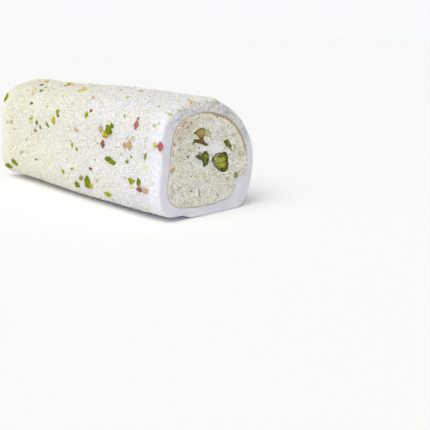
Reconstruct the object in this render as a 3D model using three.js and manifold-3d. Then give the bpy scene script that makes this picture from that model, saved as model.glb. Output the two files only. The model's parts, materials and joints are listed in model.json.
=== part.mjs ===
// A roll of Turkish delight: a pale nougat filling studded with pistachio kernels, wrapped in a
// soft white sheet that is coated with coconut and chopped pistachio, and cut square at both ends.
// Millimetres, +Z up. The roll lies along Y on its flattened underside, with the cut end that shows
// facing -Y, and the origin is on the ground under its middle.
import * as THREE from 'three';
import { mergeVertices } from 'three/addons/utils/BufferGeometryUtils.js';
import Module from 'manifold-3d';

const wasm = await Module();
wasm.setup();

// Driving dimensions of the roll.
const LENGTH = 119; // from cut to cut
const HALF_WIDTH = 24.2;
const HALF_HEIGHT = 22.4;
const SQUARENESS = 3.8; // 2 would be an ellipse, more is nearer a rectangle
// Unevenness of the section: cosine and sine shares for two, three, four and five lobes.
const LOBES = [[-0.010, -0.033], [0.021, -0.044], [0.027, 0.018], [0.020, 0.011]];
const CENTRE_X = -0.6; // puts the uneven section evenly about the origin
const CENTRE_Z = 22.6;
const SAG = 1.5; // how much of the round underside is pressed flat
const HOLLOW_CORNER = 2.3; // how much of the lower left corner is missing, and where, in degrees
const HOLLOW_CORNER_ANGLE = 235;
const HOLLOW_CORNER_SPREAD = 11;
const SWELL = 0.018; // how much thicker the roll gets between two hollows, as a share
const SWELL_LENGTH = 118;
const SHOULDER = 0.45; // how far the rim is drawn in at a cut
const SHOULDER_LENGTH = 3;
const GRAIN = 0.28; // height of the coconut relief

// The wrap's thickness at the cut by degrees round from +X over the top. It is greatest on the
// lower right, where the sheet laps over itself.
const WRAP_THICKNESS = [
  [0, 3.8], [20, 4.2], [57, 4.2], [80, 5.2], [110, 5.3], [150, 5.6], [168, 4.4], [188, 3.9],
  [205, 4.1], [219, 4.9], [236, 3.3], [258, 4.1], [274, 4.9], [294, 7.1], [308, 7.6], [322, 8.8],
  [332, 8.7], [341, 4.3], [350, 3.4], [360, 3.8],
];
const WRAP_BOTTOM = 3.8;
const GAP = 0.3; // between the filling and what touches it

// The cut faces of the filling.
const CRAG = 0.42; // depth of the torn ridges
const CRAG_WIDTH = 5.5;
const CRAG_HEIGHT = 3.1;

// How finely the surfaces are divided.
const WRAP_AROUND = 56;
const WRAP_ALONG = 42;
const FILLING_AROUND = 48;
const FILLING_ALONG = 5;
const FACE_RINGS = 8;

// Chopped nuts and petals on the side that shows: degrees round from +X over the top, distance
// from the front cut, length, width, turn in degrees, and whether it is a flat petal.
const SEEN_CHIPS = [
  [155, 31.2, 4.0, 3.6, 0, false],
  [181, 30.7, 4.9, 2.5, 5, false],
  [183, 28.0, 3.2, 1.6, 20, false],
  [210, 53.7, 3.2, 2.6, 0, false],
  [205, 45.5, 4.6, 3.7, 60, false],
  [195, 16.1, 3.8, 2.0, 0, false],
  [195, 11.9, 3.4, 2.0, 85, false],
  [207, 106.6, 5.4, 2.0, 152, false],
  [214, 114.2, 6.2, 2.4, 0, false],
  [171, 8.9, 2.4, 1.2, 75, false],
  [115, 101.3, 2.4, 1.6, 0, false],
  [127, 93.1, 2.6, 1.5, 0, false],
  [143, 92.7, 2.7, 1.3, 0, false],
  [160, 77.2, 3.6, 1.1, 146, false],
  [211, 32.6, 4.2, 2.0, 0, false],
  [146, 47.6, 2.4, 2.0, 90, false],
  [141, 116.2, 4.0, 2.2, 90, false],
  [120, 94.3, 2.2, 1.4, 0, false],
  [147, 69.9, 2.4, 1.9, 0, false],
  [109, 85.4, 2.6, 1.4, 0, false],
  [202, 63.7, 2.2, 1.7, 0, false],
  [105, 32.8, 2.4, 1.4, 0, false],
  [79, 1.6, 1.8, 1.6, 0, false],
  [161, 4.0, 2.2, 1.9, 0, false],
  [122, 31.0, 2.2, 1.6, 0, false],
  [158, 90.9, 3.6, 2.6, 60, false],
  [159, 33.2, 4.0, 2.4, 0, false],
  [208, 43.2, 2.4, 2.0, 0, false],
  [200, 7.9, 3.3, 1.8, 0, false],
  [155, 71.8, 3.4, 2.4, 110, false],
  [118, 65.4, 3.8, 3.2, 0, false],
  [111, 2.2, 2.4, 1.6, 0, false],
  [104, 104.6, 2.8, 2.2, 0, false],
  [103, 84.5, 4.6, 3.2, 0, false],
  [203, 49.8, 3.0, 2.0, 20, true],
  [168, 87.0, 2.2, 1.2, 0, true],
  [147, 15.2, 3.5, 2.6, 90, true],
  [161, 1.4, 3.3, 3.2, 0, true],
  [168, 35.1, 3.0, 2.6, 90, true],
  [193, 43.0, 2.2, 1.1, 0, true],
  [200, 11.2, 3.2, 1.7, 0, true],
  [165, 20.8, 2.5, 2.4, 270, true],
  [155, 36.4, 2.4, 2.6, 90, true],
  [164, 18.0, 3.5, 3.0, 90, true],
  [160, 53.6, 3.0, 1.1, 160, true],
];
// The chips of the other sides follow a spiral that spreads them evenly, with seeded unevenness.
const SPIRAL_CHIPS = 124;
const CHIP_LENGTH = [1.7, 4.9]; // shortest and longest
const CHIP_WIDTH_SHARE = [0.5, 0.85];
const CHIP_THICKNESS_SHARE = 0.5;
const PETAL_THICKNESS = 0.7;
const PETAL_SHARE = 0.2;
const CHIP_SUNK = 0.12; // share of its thickness by which a chip's middle lies under the surface
const CHIP_ROUGHNESS = 0.22;
const CHIP_EDGE_ROOM = 2.6; // between a spiral chip's middle and a cut
const GOLDEN_TURN = Math.PI * (3 - Math.sqrt(5));
const SEEN_SIDE = [98, 226]; // degrees that the chips above already fill
const BARE_UNDERSIDE = [226, 314]; // degrees of the underside that carry no chips
const SEED = 20147;

// Kernels in the cut faces: place in the face seen from in front, width, height, depth into the
// filling and turn in degrees. A face's own left is mirrored on the back.
const FRONT_KERNELS = [
  { name: 'kernel_front_large', x: 6.0, z: 20.3, width: 8.2, height: 8.4, depth: 6.5, turn: 12 },
  { name: 'kernel_front_middle', x: -3.2, z: 22.5, width: 4.8, height: 6.2, depth: 5.5, turn: 24 },
  { name: 'kernel_front_small', x: 9.8, z: 27.2, width: 2.6, height: 4.3, depth: 3.5, turn: 22 },
  { name: 'chip_front_tan', x: 14.6, z: 14.0, width: 2.6, height: 2.2, depth: 2.0, turn: 20 },
];
const BACK_KERNELS = [
  { name: 'kernel_back_long', x: -4.6, z: 13.0, width: 5.8, height: 12.4, depth: 4.6, turn: -14 },
  { name: 'kernel_back_golden', x: 5.4, z: 12.0, width: 6.6, height: 6.0, depth: 5.5, turn: 30 },
  { name: 'kernel_back_green', x: 9.2, z: 25.8, width: 7.0, height: 7.8, depth: 6.0, turn: -30 },
  { name: 'kernel_back_small', x: -9.8, z: 27.6, width: 3.4, height: 5.4, depth: 4.0, turn: 40 },
];
const KERNEL_PROUD = 0.25; // how far a cut kernel stands out of the filling
const KERNEL_AROUND = 12;
const KERNEL_RINGS = 8;
const KERNEL_WAIST = 0.06; // how much the groove between a kernel's halves draws in

// The hollow that a torn-out kernel left in the front face, and the brown skin still in it.
const HOLLOW = { x: -4.4, z: 31.3, width: 11.4, height: 9.8, depth: 1.9 };
const TORN_SKIN_THICKNESS = 1.1;
const TORN_SKIN_OUTLINE = [
  [-3.5, 1.6], [-2.5, 2.4], [-1.0, 3.2], [2.1, 3.3], [4.2, 1.8], [4.6, 0.4], [4.1, -0.4], [1.0, 0.1],
  [1.1, -0.9], [2.7, -2.9], [3.4, -3.4], [1.3, -3.5], [-0.8, -2.8], [-2.6, -1.9], [-4.2, -2.2],
  [-4.0, -1.2], [-0.8, -1.1], [-0.5, -0.5], [-1.4, 0.3], [-2.6, 0.9],
];

// A repeatable stream of numbers between 0 and 1.
function drawsFrom(seed) {
  let state = seed % 2147483647;
  return () => {
    state = (state * 16807) % 2147483647;
    return state / 2147483647;
  };
}

// A repeatable number between -1 and 1 for a pair of whole numbers.
function speckle(i, j) {
  const wave = Math.sin(i * 12.9898 + j * 78.233) * 43758.5453;
  return 2 * (wave - Math.floor(wave)) - 1;
}

const { euclideanModulo, smoothstep } = THREE.MathUtils;
const degrees = (angle) => euclideanModulo(angle * 180 / Math.PI, 360);
const between = ([low, high], share) => low + (high - low) * share;

// Distance from the middle of the section to the outside, before the underside is pressed flat.
function sectionRadius(angle) {
  const across = Math.abs(Math.cos(angle)) / HALF_WIDTH;
  const up = Math.abs(Math.sin(angle)) / HALF_HEIGHT;
  const squared = (across ** SQUARENESS + up ** SQUARENESS) ** (-1 / SQUARENESS);
  const uneven = LOBES.reduce((sum, [cosine, sine], i) => {
    const times = i + 2;
    return sum + cosine * Math.cos(times * angle) + sine * Math.sin(times * angle);
  }, 1);
  const fromCorner = (degrees(angle) - HOLLOW_CORNER_ANGLE) / HOLLOW_CORNER_SPREAD;
  return squared * uneven - HOLLOW_CORNER * Math.exp(-(fromCorner ** 2));
}

// The roll's hand-made unevenness along its length.
function swell(angle, along) {
  const turn = 2 * Math.PI * along / SWELL_LENGTH;
  return 1 + SWELL * (0.9 + Math.sin(turn - 0.67) + 0.3 * Math.sin(2 * angle + 1.7 * turn));
}

// How far the rim is drawn in at this distance along.
function drawnIn(along) {
  const fromCut = Math.min(along, LENGTH - along);
  const share = Math.max(0, 1 - fromCut / SHOULDER_LENGTH);
  return SHOULDER * share ** 2;
}

function wrapThickness(angle) {
  const turned = degrees(angle);
  const next = WRAP_THICKNESS.findIndex(([limit]) => limit > turned);
  const [start, before] = WRAP_THICKNESS[next - 1];
  const [end, after] = WRAP_THICKNESS[next];
  return before + (after - before) * smoothstep(turned, start, end);
}

// A point of the coated outside, as [x, z].
function outside(angle, along, grain = 0) {
  const radius = sectionRadius(angle) * swell(angle, along) - drawnIn(along) + grain;
  const z = CENTRE_Z + radius * Math.sin(angle) - SAG;
  return [CENTRE_X + radius * Math.cos(angle), Math.max(0, z)];
}

// A point of the filling's side, as [x, z]; grow makes the hollow of the wrap that holds it.
function fillingSide(angle, grow = 0) {
  const radius = sectionRadius(angle) - wrapThickness(angle) + grow;
  const z = CENTRE_Z + radius * Math.sin(angle) - SAG;
  return [CENTRE_X + radius * Math.cos(angle), Math.max(WRAP_BOTTOM - grow, z)];
}

// Torn ridges of a cut face, which run across it.
function crags(x, z) {
  const ridge = Math.sin(z / CRAG_HEIGHT * 2 + 1.3 * Math.sin(x / CRAG_WIDTH + 0.7));
  const lump = Math.sin(x / CRAG_WIDTH * 2.3 + 1.9) * Math.sin(z / CRAG_HEIGHT * 1.1 + 0.4);
  return CRAG * (0.6 * ridge + 0.4 * lump);
}

function solid(geometry) {
  const bare = geometry.clone();
  bare.deleteAttribute('normal');
  bare.deleteAttribute('uv');
  const merged = mergeVertices(bare, 1e-4);
  return new wasm.Manifold(new wasm.Mesh({
    numProp: 3,
    vertProperties: new Float32Array(merged.attributes.position.array),
    triVerts: new Uint32Array(merged.index.array),
  }));
}

function geometryOf(manifold) {
  const mesh = manifold.getMesh();
  const geometry = new THREE.BufferGeometry();
  geometry.setAttribute('position', new THREE.BufferAttribute(mesh.vertProperties, 3));
  geometry.setIndex(new THREE.BufferAttribute(mesh.triVerts, 1));
  geometry.computeVertexNormals();
  return geometry;
}

// Turns a profile of unit radius round the roll's axis and moves each vertex to place(share of
// the radius, angle, along, column), which gives [x, y, z].
function turned(profile, columns, place) {
  const points = profile.map(([share, along]) => new THREE.Vector2(share, along));
  const geometry = new THREE.LatheGeometry(points, columns);
  const position = geometry.attributes.position;
  for (let i = 0; i < position.count; i += 1) {
    const [x, along, z] = [position.getX(i), position.getY(i), position.getZ(i)];
    const turn = euclideanModulo(Math.atan2(z, x) / (2 * Math.PI), 1);
    const column = Math.round(turn * columns) % columns;
    const angle = column / columns * 2 * Math.PI;
    position.setXYZ(i, ...place(Math.hypot(x, z), angle, along, column));
  }
  return geometry;
}

const towards = (middle, edge, share) => middle + (edge - middle) * share;
const steps = (count) => Array.from({ length: count + 1 }, (_, i) => i / count);

// The wrap before its hollow is cut, with the coconut's relief over its side.
function coatedBody() {
  // Rows lie closer together where the rim is drawn in at each cut.
  const rows = steps(WRAP_ALONG).map((share) => (
    LENGTH * (share - Math.sin(2 * Math.PI * share) / (4 * Math.PI))
  ));
  const profile = [[0, 0], ...rows.map((along) => [1, along]), [0, LENGTH]];
  return solid(turned(profile, WRAP_AROUND, (share, angle, along, column) => {
    const atCut = along < 1e-3 || along > LENGTH - 1e-3;
    const grain = atCut ? 0 : GRAIN * speckle(column, Math.round(along * 10));
    const [x, z] = outside(angle, along, grain);
    return [towards(CENTRE_X, x, share), along - LENGTH / 2, towards(CENTRE_Z, z, share)];
  }));
}

function wrapHollow() {
  const rows = steps(FILLING_ALONG).map((share) => [1, LENGTH * share]);
  const profile = [[0, -1], [1, -1], ...rows, [1, LENGTH + 1], [0, LENGTH + 1]];
  return solid(turned(profile, FILLING_AROUND, (share, angle, along) => {
    const [x, z] = fillingSide(angle, GAP);
    return [towards(CENTRE_X, x, share), along - LENGTH / 2, towards(CENTRE_Z, z, share)];
  }));
}

function fillingBody() {
  const rings = steps(FACE_RINGS);
  const profile = [
    ...rings.map((share) => [share, 0]),
    ...steps(FILLING_ALONG).slice(1, -1).map((share) => [1, LENGTH * share]),
    ...rings.slice().reverse().map((share) => [share, LENGTH]),
  ];
  return solid(turned(profile, FILLING_AROUND, (share, angle, along) => {
    const [edgeX, edgeZ] = fillingSide(angle);
    const x = towards(CENTRE_X, edgeX, share);
    const z = towards(CENTRE_Z, edgeZ, share);
    const onFace = along < 1e-3 || along > LENGTH - 1e-3;
    const relief = onFace ? crags(x, z) * (1 - share ** 6) : 0;
    return [x, along - LENGTH / 2 + (along > LENGTH / 2 ? -relief : relief), z];
  }));
}

// A chip or petal: a lump of unit size with seeded corners, scaled, laid on the coating and sunk in.
function chip([angleDegrees, along, length, width, turn, flat], index) {
  const lump = new THREE.IcosahedronGeometry(1, 0);
  lump.deleteAttribute('normal');
  lump.deleteAttribute('uv');
  const corners = mergeVertices(lump, 1e-4);
  const draw = drawsFrom(SEED + 97 * (index + 1));
  const position = corners.attributes.position;
  for (let i = 0; i < position.count; i += 1) {
    const reach = 1 + CHIP_ROUGHNESS * (2 * draw() - 1);
    position.setXYZ(i, position.getX(i) * reach, position.getY(i) * reach, position.getZ(i) * reach);
  }
  const thickness = flat ? PETAL_THICKNESS : Math.min(width * CHIP_THICKNESS_SHARE, 1.7);
  corners.scale(length / 2, width / 2, thickness / 2);

  const angle = angleDegrees * Math.PI / 180;
  const [x, z] = outside(angle, along);
  const [aheadX, aheadZ] = outside(angle + 0.02, along);
  const around = new THREE.Vector3(aheadX - x, 0, aheadZ - z).normalize();
  const lengthwise = new THREE.Vector3(0, 1, 0);
  const outward = new THREE.Vector3().crossVectors(lengthwise, around);
  corners.applyMatrix4(new THREE.Matrix4().makeRotationZ(turn * Math.PI / 180));
  corners.applyMatrix4(new THREE.Matrix4().makeBasis(lengthwise, around, outward));
  const depth = CHIP_SUNK * thickness;
  corners.translate(x - outward.x * depth, along - LENGTH / 2, z - outward.z * depth);
  return solid(corners);
}

function spiralChips() {
  const draw = drawsFrom(SEED);
  const within = (angle, [low, high]) => angle > low && angle < high;
  const chips = [];
  for (let i = 0; i < SPIRAL_CHIPS; i += 1) {
    const angle = degrees(i * GOLDEN_TURN + 0.5 * (draw() - 0.5));
    const along = between([CHIP_EDGE_ROOM, LENGTH - CHIP_EDGE_ROOM], (i + draw()) / SPIRAL_CHIPS);
    const length = between(CHIP_LENGTH, draw() ** 1.8);
    const width = length * between(CHIP_WIDTH_SHARE, draw());
    const turn = 180 * draw();
    const flat = draw() < PETAL_SHARE;
    if (within(angle, SEEN_SIDE) || within(angle, BARE_UNDERSIDE)) continue;
    chips.push([angle, along, length, width, turn, flat]);
  }
  return chips;
}

function wrap() {
  const chips = [...SEEN_CHIPS, ...spiralChips()];
  const coated = chips.reduce((body, place, index) => body.add(chip(place, index)), coatedBody());
  return coated.subtract(wrapHollow());
}

// A whole kernel about its own middle: an ovoid that is drawn in along the groove between halves.
function ovoid({ width, height, depth }, grow = 0) {
  const geometry = new THREE.SphereGeometry(1, KERNEL_AROUND, KERNEL_RINGS);
  const position = geometry.attributes.position;
  for (let i = 0; i < position.count; i += 1) {
    const [x, y, z] = [position.getX(i), position.getY(i), position.getZ(i)];
    const draw = 1 - KERNEL_WAIST * Math.exp(-((z / 0.3) ** 2)) * Math.abs(x);
    position.setXYZ(i, x * draw * (width / 2 + grow), y * (depth + grow), z * (height / 2 + grow));
  }
  return geometry;
}

// Where a kernel's middle lies in the face at this end; side is -1 in front and 1 at the back.
function inFace(geometry, { x, z, turn = 0, depth }, side) {
  geometry.rotateY(-turn * Math.PI / 180);
  return geometry.translate(-side * x, side * (LENGTH / 2 - 0.12 * depth), z);
}

// Everything past the plane that a cut leaves, a little proud of the filling.
function beyondCut(side, proud) {
  const size = 4 * HALF_WIDTH;
  const box = new THREE.BoxGeometry(size, size, size);
  return solid(box.translate(0, side * (LENGTH / 2 + proud + size / 2), CENTRE_Z));
}

function kernel(place, side) {
  return solid(inFace(ovoid(place), place, side)).subtract(beyondCut(side, KERNEL_PROUD));
}

// The dish of space that a torn-out kernel left, open to the front.
function tornHollow() {
  const dish = new THREE.CylinderGeometry(1, 1, 2 * HOLLOW.depth, 18);
  dish.scale(HOLLOW.width / 2, 1, HOLLOW.height / 2);
  return solid(dish.translate(HOLLOW.x, -LENGTH / 2, HOLLOW.z));
}

function tornSkin() {
  const outline = new THREE.Shape(TORN_SKIN_OUTLINE.map(([x, z]) => new THREE.Vector2(x, z)));
  const flake = new THREE.ExtrudeGeometry(outline, { depth: TORN_SKIN_THICKNESS, bevelEnabled: false });
  flake.rotateX(Math.PI / 2);
  const back = -LENGTH / 2 + HOLLOW.depth - GAP;
  return solid(flake.translate(HOLLOW.x, back, HOLLOW.z));
}

function filling() {
  const pocket = (place, side) => solid(inFace(ovoid(place, GAP), place, side));
  const hollows = [
    ...FRONT_KERNELS.map((place) => pocket(place, -1)),
    ...BACK_KERNELS.map((place) => pocket(place, 1)),
    tornHollow(),
  ];
  return hollows.reduce((body, hollow) => body.subtract(hollow), fillingBody());
}

const WRAP_LOOK = { color: 0xf1eff0, roughness: 0.75, metalness: 0 };
const FILLING_LOOK = { color: 0xe3dfd0, roughness: 0.85, metalness: 0 };
const GREEN_LOOK = { color: 0x8f9a3a, roughness: 0.6, metalness: 0 };
const GOLDEN_LOOK = { color: 0xc2a340, roughness: 0.6, metalness: 0 };
const BROWN_LOOK = { color: 0x8f7440, roughness: 0.6, metalness: 0 };

function named(name, manifold, look) {
  const mesh = new THREE.Mesh(geometryOf(manifold), new THREE.MeshStandardMaterial(look));
  mesh.name = name;
  return mesh;
}

const kernelLook = (name) => (name.includes('golden') || name.includes('tan') ? GOLDEN_LOOK : GREEN_LOOK);

const roll = new THREE.Group();
roll.add(named('wrap', wrap(), WRAP_LOOK));
roll.add(named('filling', filling(), FILLING_LOOK));
FRONT_KERNELS.forEach((place) => roll.add(named(place.name, kernel(place, -1), kernelLook(place.name))));
BACK_KERNELS.forEach((place) => roll.add(named(place.name, kernel(place, 1), kernelLook(place.name))));
roll.add(named('kernel_skin_front', tornSkin(), BROWN_LOOK));

export default roll;
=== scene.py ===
"""The looks of a roll of Turkish delight: nougat with pistachios in a soft wrap coated with coconut.

Forms are worked out in millimetres and become meshes in metres. The roll lies along Y on its
flattened underside, and the cut that shows faces -Y.
"""
import json
import math

import bmesh
import bpy
import numpy as np
from mathutils import Matrix, Vector

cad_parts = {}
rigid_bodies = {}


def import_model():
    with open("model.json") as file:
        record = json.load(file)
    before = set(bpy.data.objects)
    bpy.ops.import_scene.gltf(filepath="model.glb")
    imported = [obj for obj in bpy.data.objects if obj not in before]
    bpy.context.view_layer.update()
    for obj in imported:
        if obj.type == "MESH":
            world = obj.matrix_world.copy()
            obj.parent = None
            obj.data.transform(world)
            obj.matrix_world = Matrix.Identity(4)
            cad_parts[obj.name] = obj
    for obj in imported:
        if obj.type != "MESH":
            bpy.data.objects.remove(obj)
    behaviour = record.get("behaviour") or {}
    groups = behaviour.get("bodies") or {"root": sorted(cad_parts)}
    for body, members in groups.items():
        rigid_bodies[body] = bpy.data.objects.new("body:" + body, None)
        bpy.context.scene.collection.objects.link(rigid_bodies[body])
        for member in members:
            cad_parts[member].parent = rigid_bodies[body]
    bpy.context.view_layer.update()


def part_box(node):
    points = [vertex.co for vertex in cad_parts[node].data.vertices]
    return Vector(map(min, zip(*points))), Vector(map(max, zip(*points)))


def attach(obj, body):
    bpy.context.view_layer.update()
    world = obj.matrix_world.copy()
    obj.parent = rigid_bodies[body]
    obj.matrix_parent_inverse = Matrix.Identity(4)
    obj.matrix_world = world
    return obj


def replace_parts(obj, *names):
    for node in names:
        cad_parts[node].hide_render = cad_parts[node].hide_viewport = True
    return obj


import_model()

MM = 0.001
FRONT, BACK = -1, 1

# The roll's section and its unevenness, as the solid has them.
HALF_WIDTH = 24.2
HALF_HEIGHT = 22.4
SQUARENESS = 3.8
LOBES = [(-0.010, -0.033), (0.021, -0.044), (0.027, 0.018), (0.020, 0.011)]
MIDDLE_X = -0.6
MIDDLE_Z = 21.1
PRESS_SOFTNESS = 0.3  # how gently the pressed underside turns into the sides
HOLLOW_CORNER = 2.3  # how far it dips in at a lower corner
HOLLOW_CORNER_ANGLE = 235
HOLLOW_CORNER_SPREAD = 11
SWELL = 0.018  # how much it grows and shrinks along the roll
SWELL_LENGTH = 118
LENGTH = (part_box("wrap")[1].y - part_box("wrap")[0].y) / MM

# The wrap's thickness at the cut by degrees round from +X over the top.
WRAP_THICKNESS = np.array([
    (0, 3.8), (20, 4.2), (57, 4.2), (80, 5.2), (110, 5.3), (150, 5.6), (168, 4.4), (188, 3.9),
    (205, 4.1), (219, 4.9), (236, 3.3), (258, 4.1), (274, 4.9), (294, 7.1), (308, 7.6), (322, 8.8),
    (332, 8.7), (341, 4.3), (350, 3.4), (360, 3.8),
])
WRAP_BOTTOM = 3.8

# How the wrap is finished at its cuts.
RIM = 0.9  # rounding of the rim
RIM_TOP = 1.9  # added to it where the coconut runs over the rim
CUT_DEPTH = 0.12  # how far the cut lies inside the roll's ends, and how uneven it is
COATED_RIM_MIDDLE = 78  # the middle of the stretch of rim that the coconut runs over, in degrees
COATED_RIM_REACH = (48, 74)  # from there to where it starts to thin out and has ended
BARE_RIM = (2, 11)  # elsewhere, how far from a cut the coconut starts to thicken and is full
THIN_COAT = 0.4  # how dense the coconut is nearer the cut than that
BARE_UNDERSIDE = (226, 314)  # where the roll lies, in degrees
BARE_UNDERSIDE_REACH = (42, 50)  # from its middle to where the coconut starts and is full
SEAM_MIDDLE = 52  # the middle of the stretch where the filling has come away from the wrap
SEAM_REACH = (32, 62)  # from there to where the seam starts to close and has closed
SEAM_EDGES = (0.45, 0.85)  # where the brown line along it fades at the top, from the filling's edge
SEAM_GROWS = 0.8  # how much wider that line becomes towards the side
SEAM_BAND = 1.5  # the middle of the paler line inside it
SEAM_CLOSED = 0.04  # between the filling and the wrap
WRAP_COLUMNS = 300
WRAP_ROWS = 236
CUT_ROWS = 9
RIM_ROWS = 6
HOLE_ROWS = 6

# The cut faces of the filling.
CRAG = 0.42  # depth of the crags that the knife has torn
CRAG_WIDTH = 5.5
CRAG_HEIGHT = 3.1
FILLING_COLUMNS = 470
FACE_ROWS = 84
FACE_CROWDING = 1.15  # above 1, the rows lie closer together towards the edge
SIDE_ROWS = 4
SIDE_FROM_CUT = 3
POCKET = 1.4  # depth of the space that a kernel fills
EDGE_ROUNDING = (0.7, 0.5)  # its width and depth
EDGE_LINE_MIDDLE = 165  # the middle of the faint brown line along the left edge, in degrees
EDGE_LINE_REACH = (28, 50)
EDGE_LINE_WIDTH = 0.4
BLUSH_PLACE = (-14, 35)  # the middle of the rosy corner
BLUSH_SPREAD = 40

# How each cut kernel looks: its outline about its hub where it isn't a plain oval, the hub from the
# solid's middle, an oval's turn in degrees, ripeness from green to golden, darkness, the stretch of
# brown skin round its edge as middle and half-width in degrees, the share of its radius where that
# starts, how chalky it is beside the skin, a thick green stretch of rim as middle and half-width, the
# line of the groove between its halves as height, slope and bend, and dark spots as place and size.
# One with a tone is finished as a chip, in that tone.
KERNELS = {
    "kernel_front_large": {
        "side": FRONT, "gold": 0.1, "dark": 0.25, "skin": (150, 65), "thick": (-15, 70),
        "skin_from": 0.86, "chalk": 0.9, "groove": (-0.35, 0.08, 0.05),
        "spots": [(-0.8, 2.4, 1.1), (0.3, 2.2, 1.0), (0.4, -3.0, 1.1)],
        "outline": [
            (4.3, 1.4), (3.7, 2.8), (2.0, 4.1), (0.6, 3.6), (-0.9, 3.9), (-2.2, 3.7), (-3.1, 3.3),
            (-4.0, 2.4), (-4.4, 1.1), (-4.2, -0.4), (-2.9, -1.5), (-1.5, -2.7), (-0.7, -3.7),
            (0.4, -4.0), (2.3, -4.2), (4.0, -3.4), (4.6, -1.6), (4.2, -0.1),
        ],
    },
    "kernel_front_middle": {
        "side": FRONT, "dark": 1.0, "skin": (160, 22), "thick": (-30, 70),
        "skin_from": 0.34, "groove": (0.6, 0.9, 0.2),
        "spots": [(-0.6, 1.9, 1.1), (1.5, -0.9, 1.0), (0.3, -2.6, 1.1), (-1.0, -0.6, 0.7)],
        "hub": (0.7, 0.5), "outline": [
            (2.1, 0.3), (1.6, 1.6), (0.7, 2.5), (-0.5, 2.2), (-1.3, 1.9), (-2.6, 1.7), (-3.6, 2.4),
            (-4.3, 1.9), (-5.3, 1.1), (-4.0, 0.6), (-3.2, -0.3), (-1.6, -0.7), (-0.8, -2.0),
            (-0.3, -3.4), (0.9, -3.0), (1.8, -2.3), (2.3, -1.1),
        ],
    },
    "kernel_front_small": {
        "side": FRONT, "dark": 0.8, "skin": (-20, 40), "thick": (185, 40),
        "groove": (0.0, -0.9, 0.1), "spots": [(-1.5, 0.4, 0.6), (1.3, -1.7, 0.5)],
        "outline": [
            (0.0, 1.6), (0.8, 1.0), (1.4, 0.1), (1.8, -0.9), (1.8, -1.9), (1.2, -2.2), (0.4, -1.6),
            (-0.5, -0.8), (-1.4, -0.2), (-2.0, 0.4), (-1.1, 1.2),
        ],
    },
    "chip_front_tan": {
        "side": FRONT, "turn": 20, "gold": 0.7, "tone": 0.12,
    },
    "kernel_back_long": {
        "side": BACK, "turn": -14, "gold": 0.2, "dark": 0.3, "skin": (150, 70), "thick": (-30, 50),
        "groove": (0, 2.6, 0), "spots": [(0.8, -3.4, 0.7)],
    },
    "kernel_back_golden": {
        "side": BACK, "turn": 30, "gold": 1.0, "dark": 0.1, "skin": (165, 80), "thick": (-10, 40),
        "groove": (0, 0.2, 0.03), "spots": [(-0.6, 1.6, 0.5)],
    },
    "kernel_back_green": {
        "side": BACK, "turn": -30, "gold": 0.3, "dark": 0.3, "skin": (120, 80), "thick": (-60, 60),
        "groove": (0.2, -0.2, 0.03), "spots": [(0.9, 2.2, 0.6), (-1.2, -1.8, 0.5)],
    },
    "kernel_back_small": {
        "side": BACK, "turn": 40, "dark": 0.6, "skin": (180, 50), "thick": (0, 50),
        "groove": (0, 0.6, 0.1),
    },
}
# What holds for a kernel that doesn't say otherwise; its groove lies outside it.
PLAIN_KERNEL = {
    "hub": (0, 0), "gold": 0.0, "dark": 0.0, "skin": (0, 0), "skin_from": 0.8, "chalk": 0,
    "thick": (0, 0), "groove": (9, 0, 0), "spots": [], "tone": 0,
}
OVAL_SIZES = {
    "chip_front_tan": (2.6, 2.2),
    "kernel_back_long": (5.8, 12.4),
    "kernel_back_golden": (6.6, 6.0),
    "kernel_back_green": (7.0, 7.8),
    "kernel_back_small": (3.4, 5.4),
}
KERNEL_COLUMNS = 96
KERNEL_ROWS = 18
KERNEL_PROUD = 0.25  # how far its face stands out of the cut
KERNEL_DEPTH = 3.0
KERNEL_BODY_DEPTHS = (0.12, 0.3, 0.6, 0.85, 0.97)  # where its body has rows, as shares of the depth

# The brown skin of a torn-out kernel and the hollow round it, about the skin's middle.
TORN_SKIN_OUTLINE = np.array([
    (-3.5, 1.5), (-2.4, 2.3), (-1.0, 3.2), (0.5, 3.2), (1.6, 2.9), (3.2, 2.1), (4.1, 1.0), (4.3, -0.3),
    (3.0, -0.1), (1.3, 0.2), (1.0, -0.6), (1.3, -1.7), (2.4, -2.8), (3.6, -3.5), (3.0, -3.9),
    (1.5, -3.7), (0.2, -3.1), (-1.3, -2.6), (-3.2, -2.2), (-4.3, -3.2), (-5.0, -2.9), (-4.6, -1.5),
    (-3.3, -0.9), (-1.3, -1.1), (-0.5, -1.0), (-0.7, -0.5), (-1.5, 0.3), (-2.6, 0.9),
])
TORN_MIDDLE = (-4.0, 31.3)
TORN_DEPTH = 0.6
TORN_STEP = 0.16  # between the skin's points
TORN_GROWN = 0.12  # what its square cells take away along its edge
TORN_THICKNESS = 0.3
# Where the knife has smeared the nougat smooth: middle and half-sizes.
SMEARS = [(3.4, 26.6, 4.0, 2.8), (-3.9, 26.6, 3.2, 1.2)]

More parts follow.
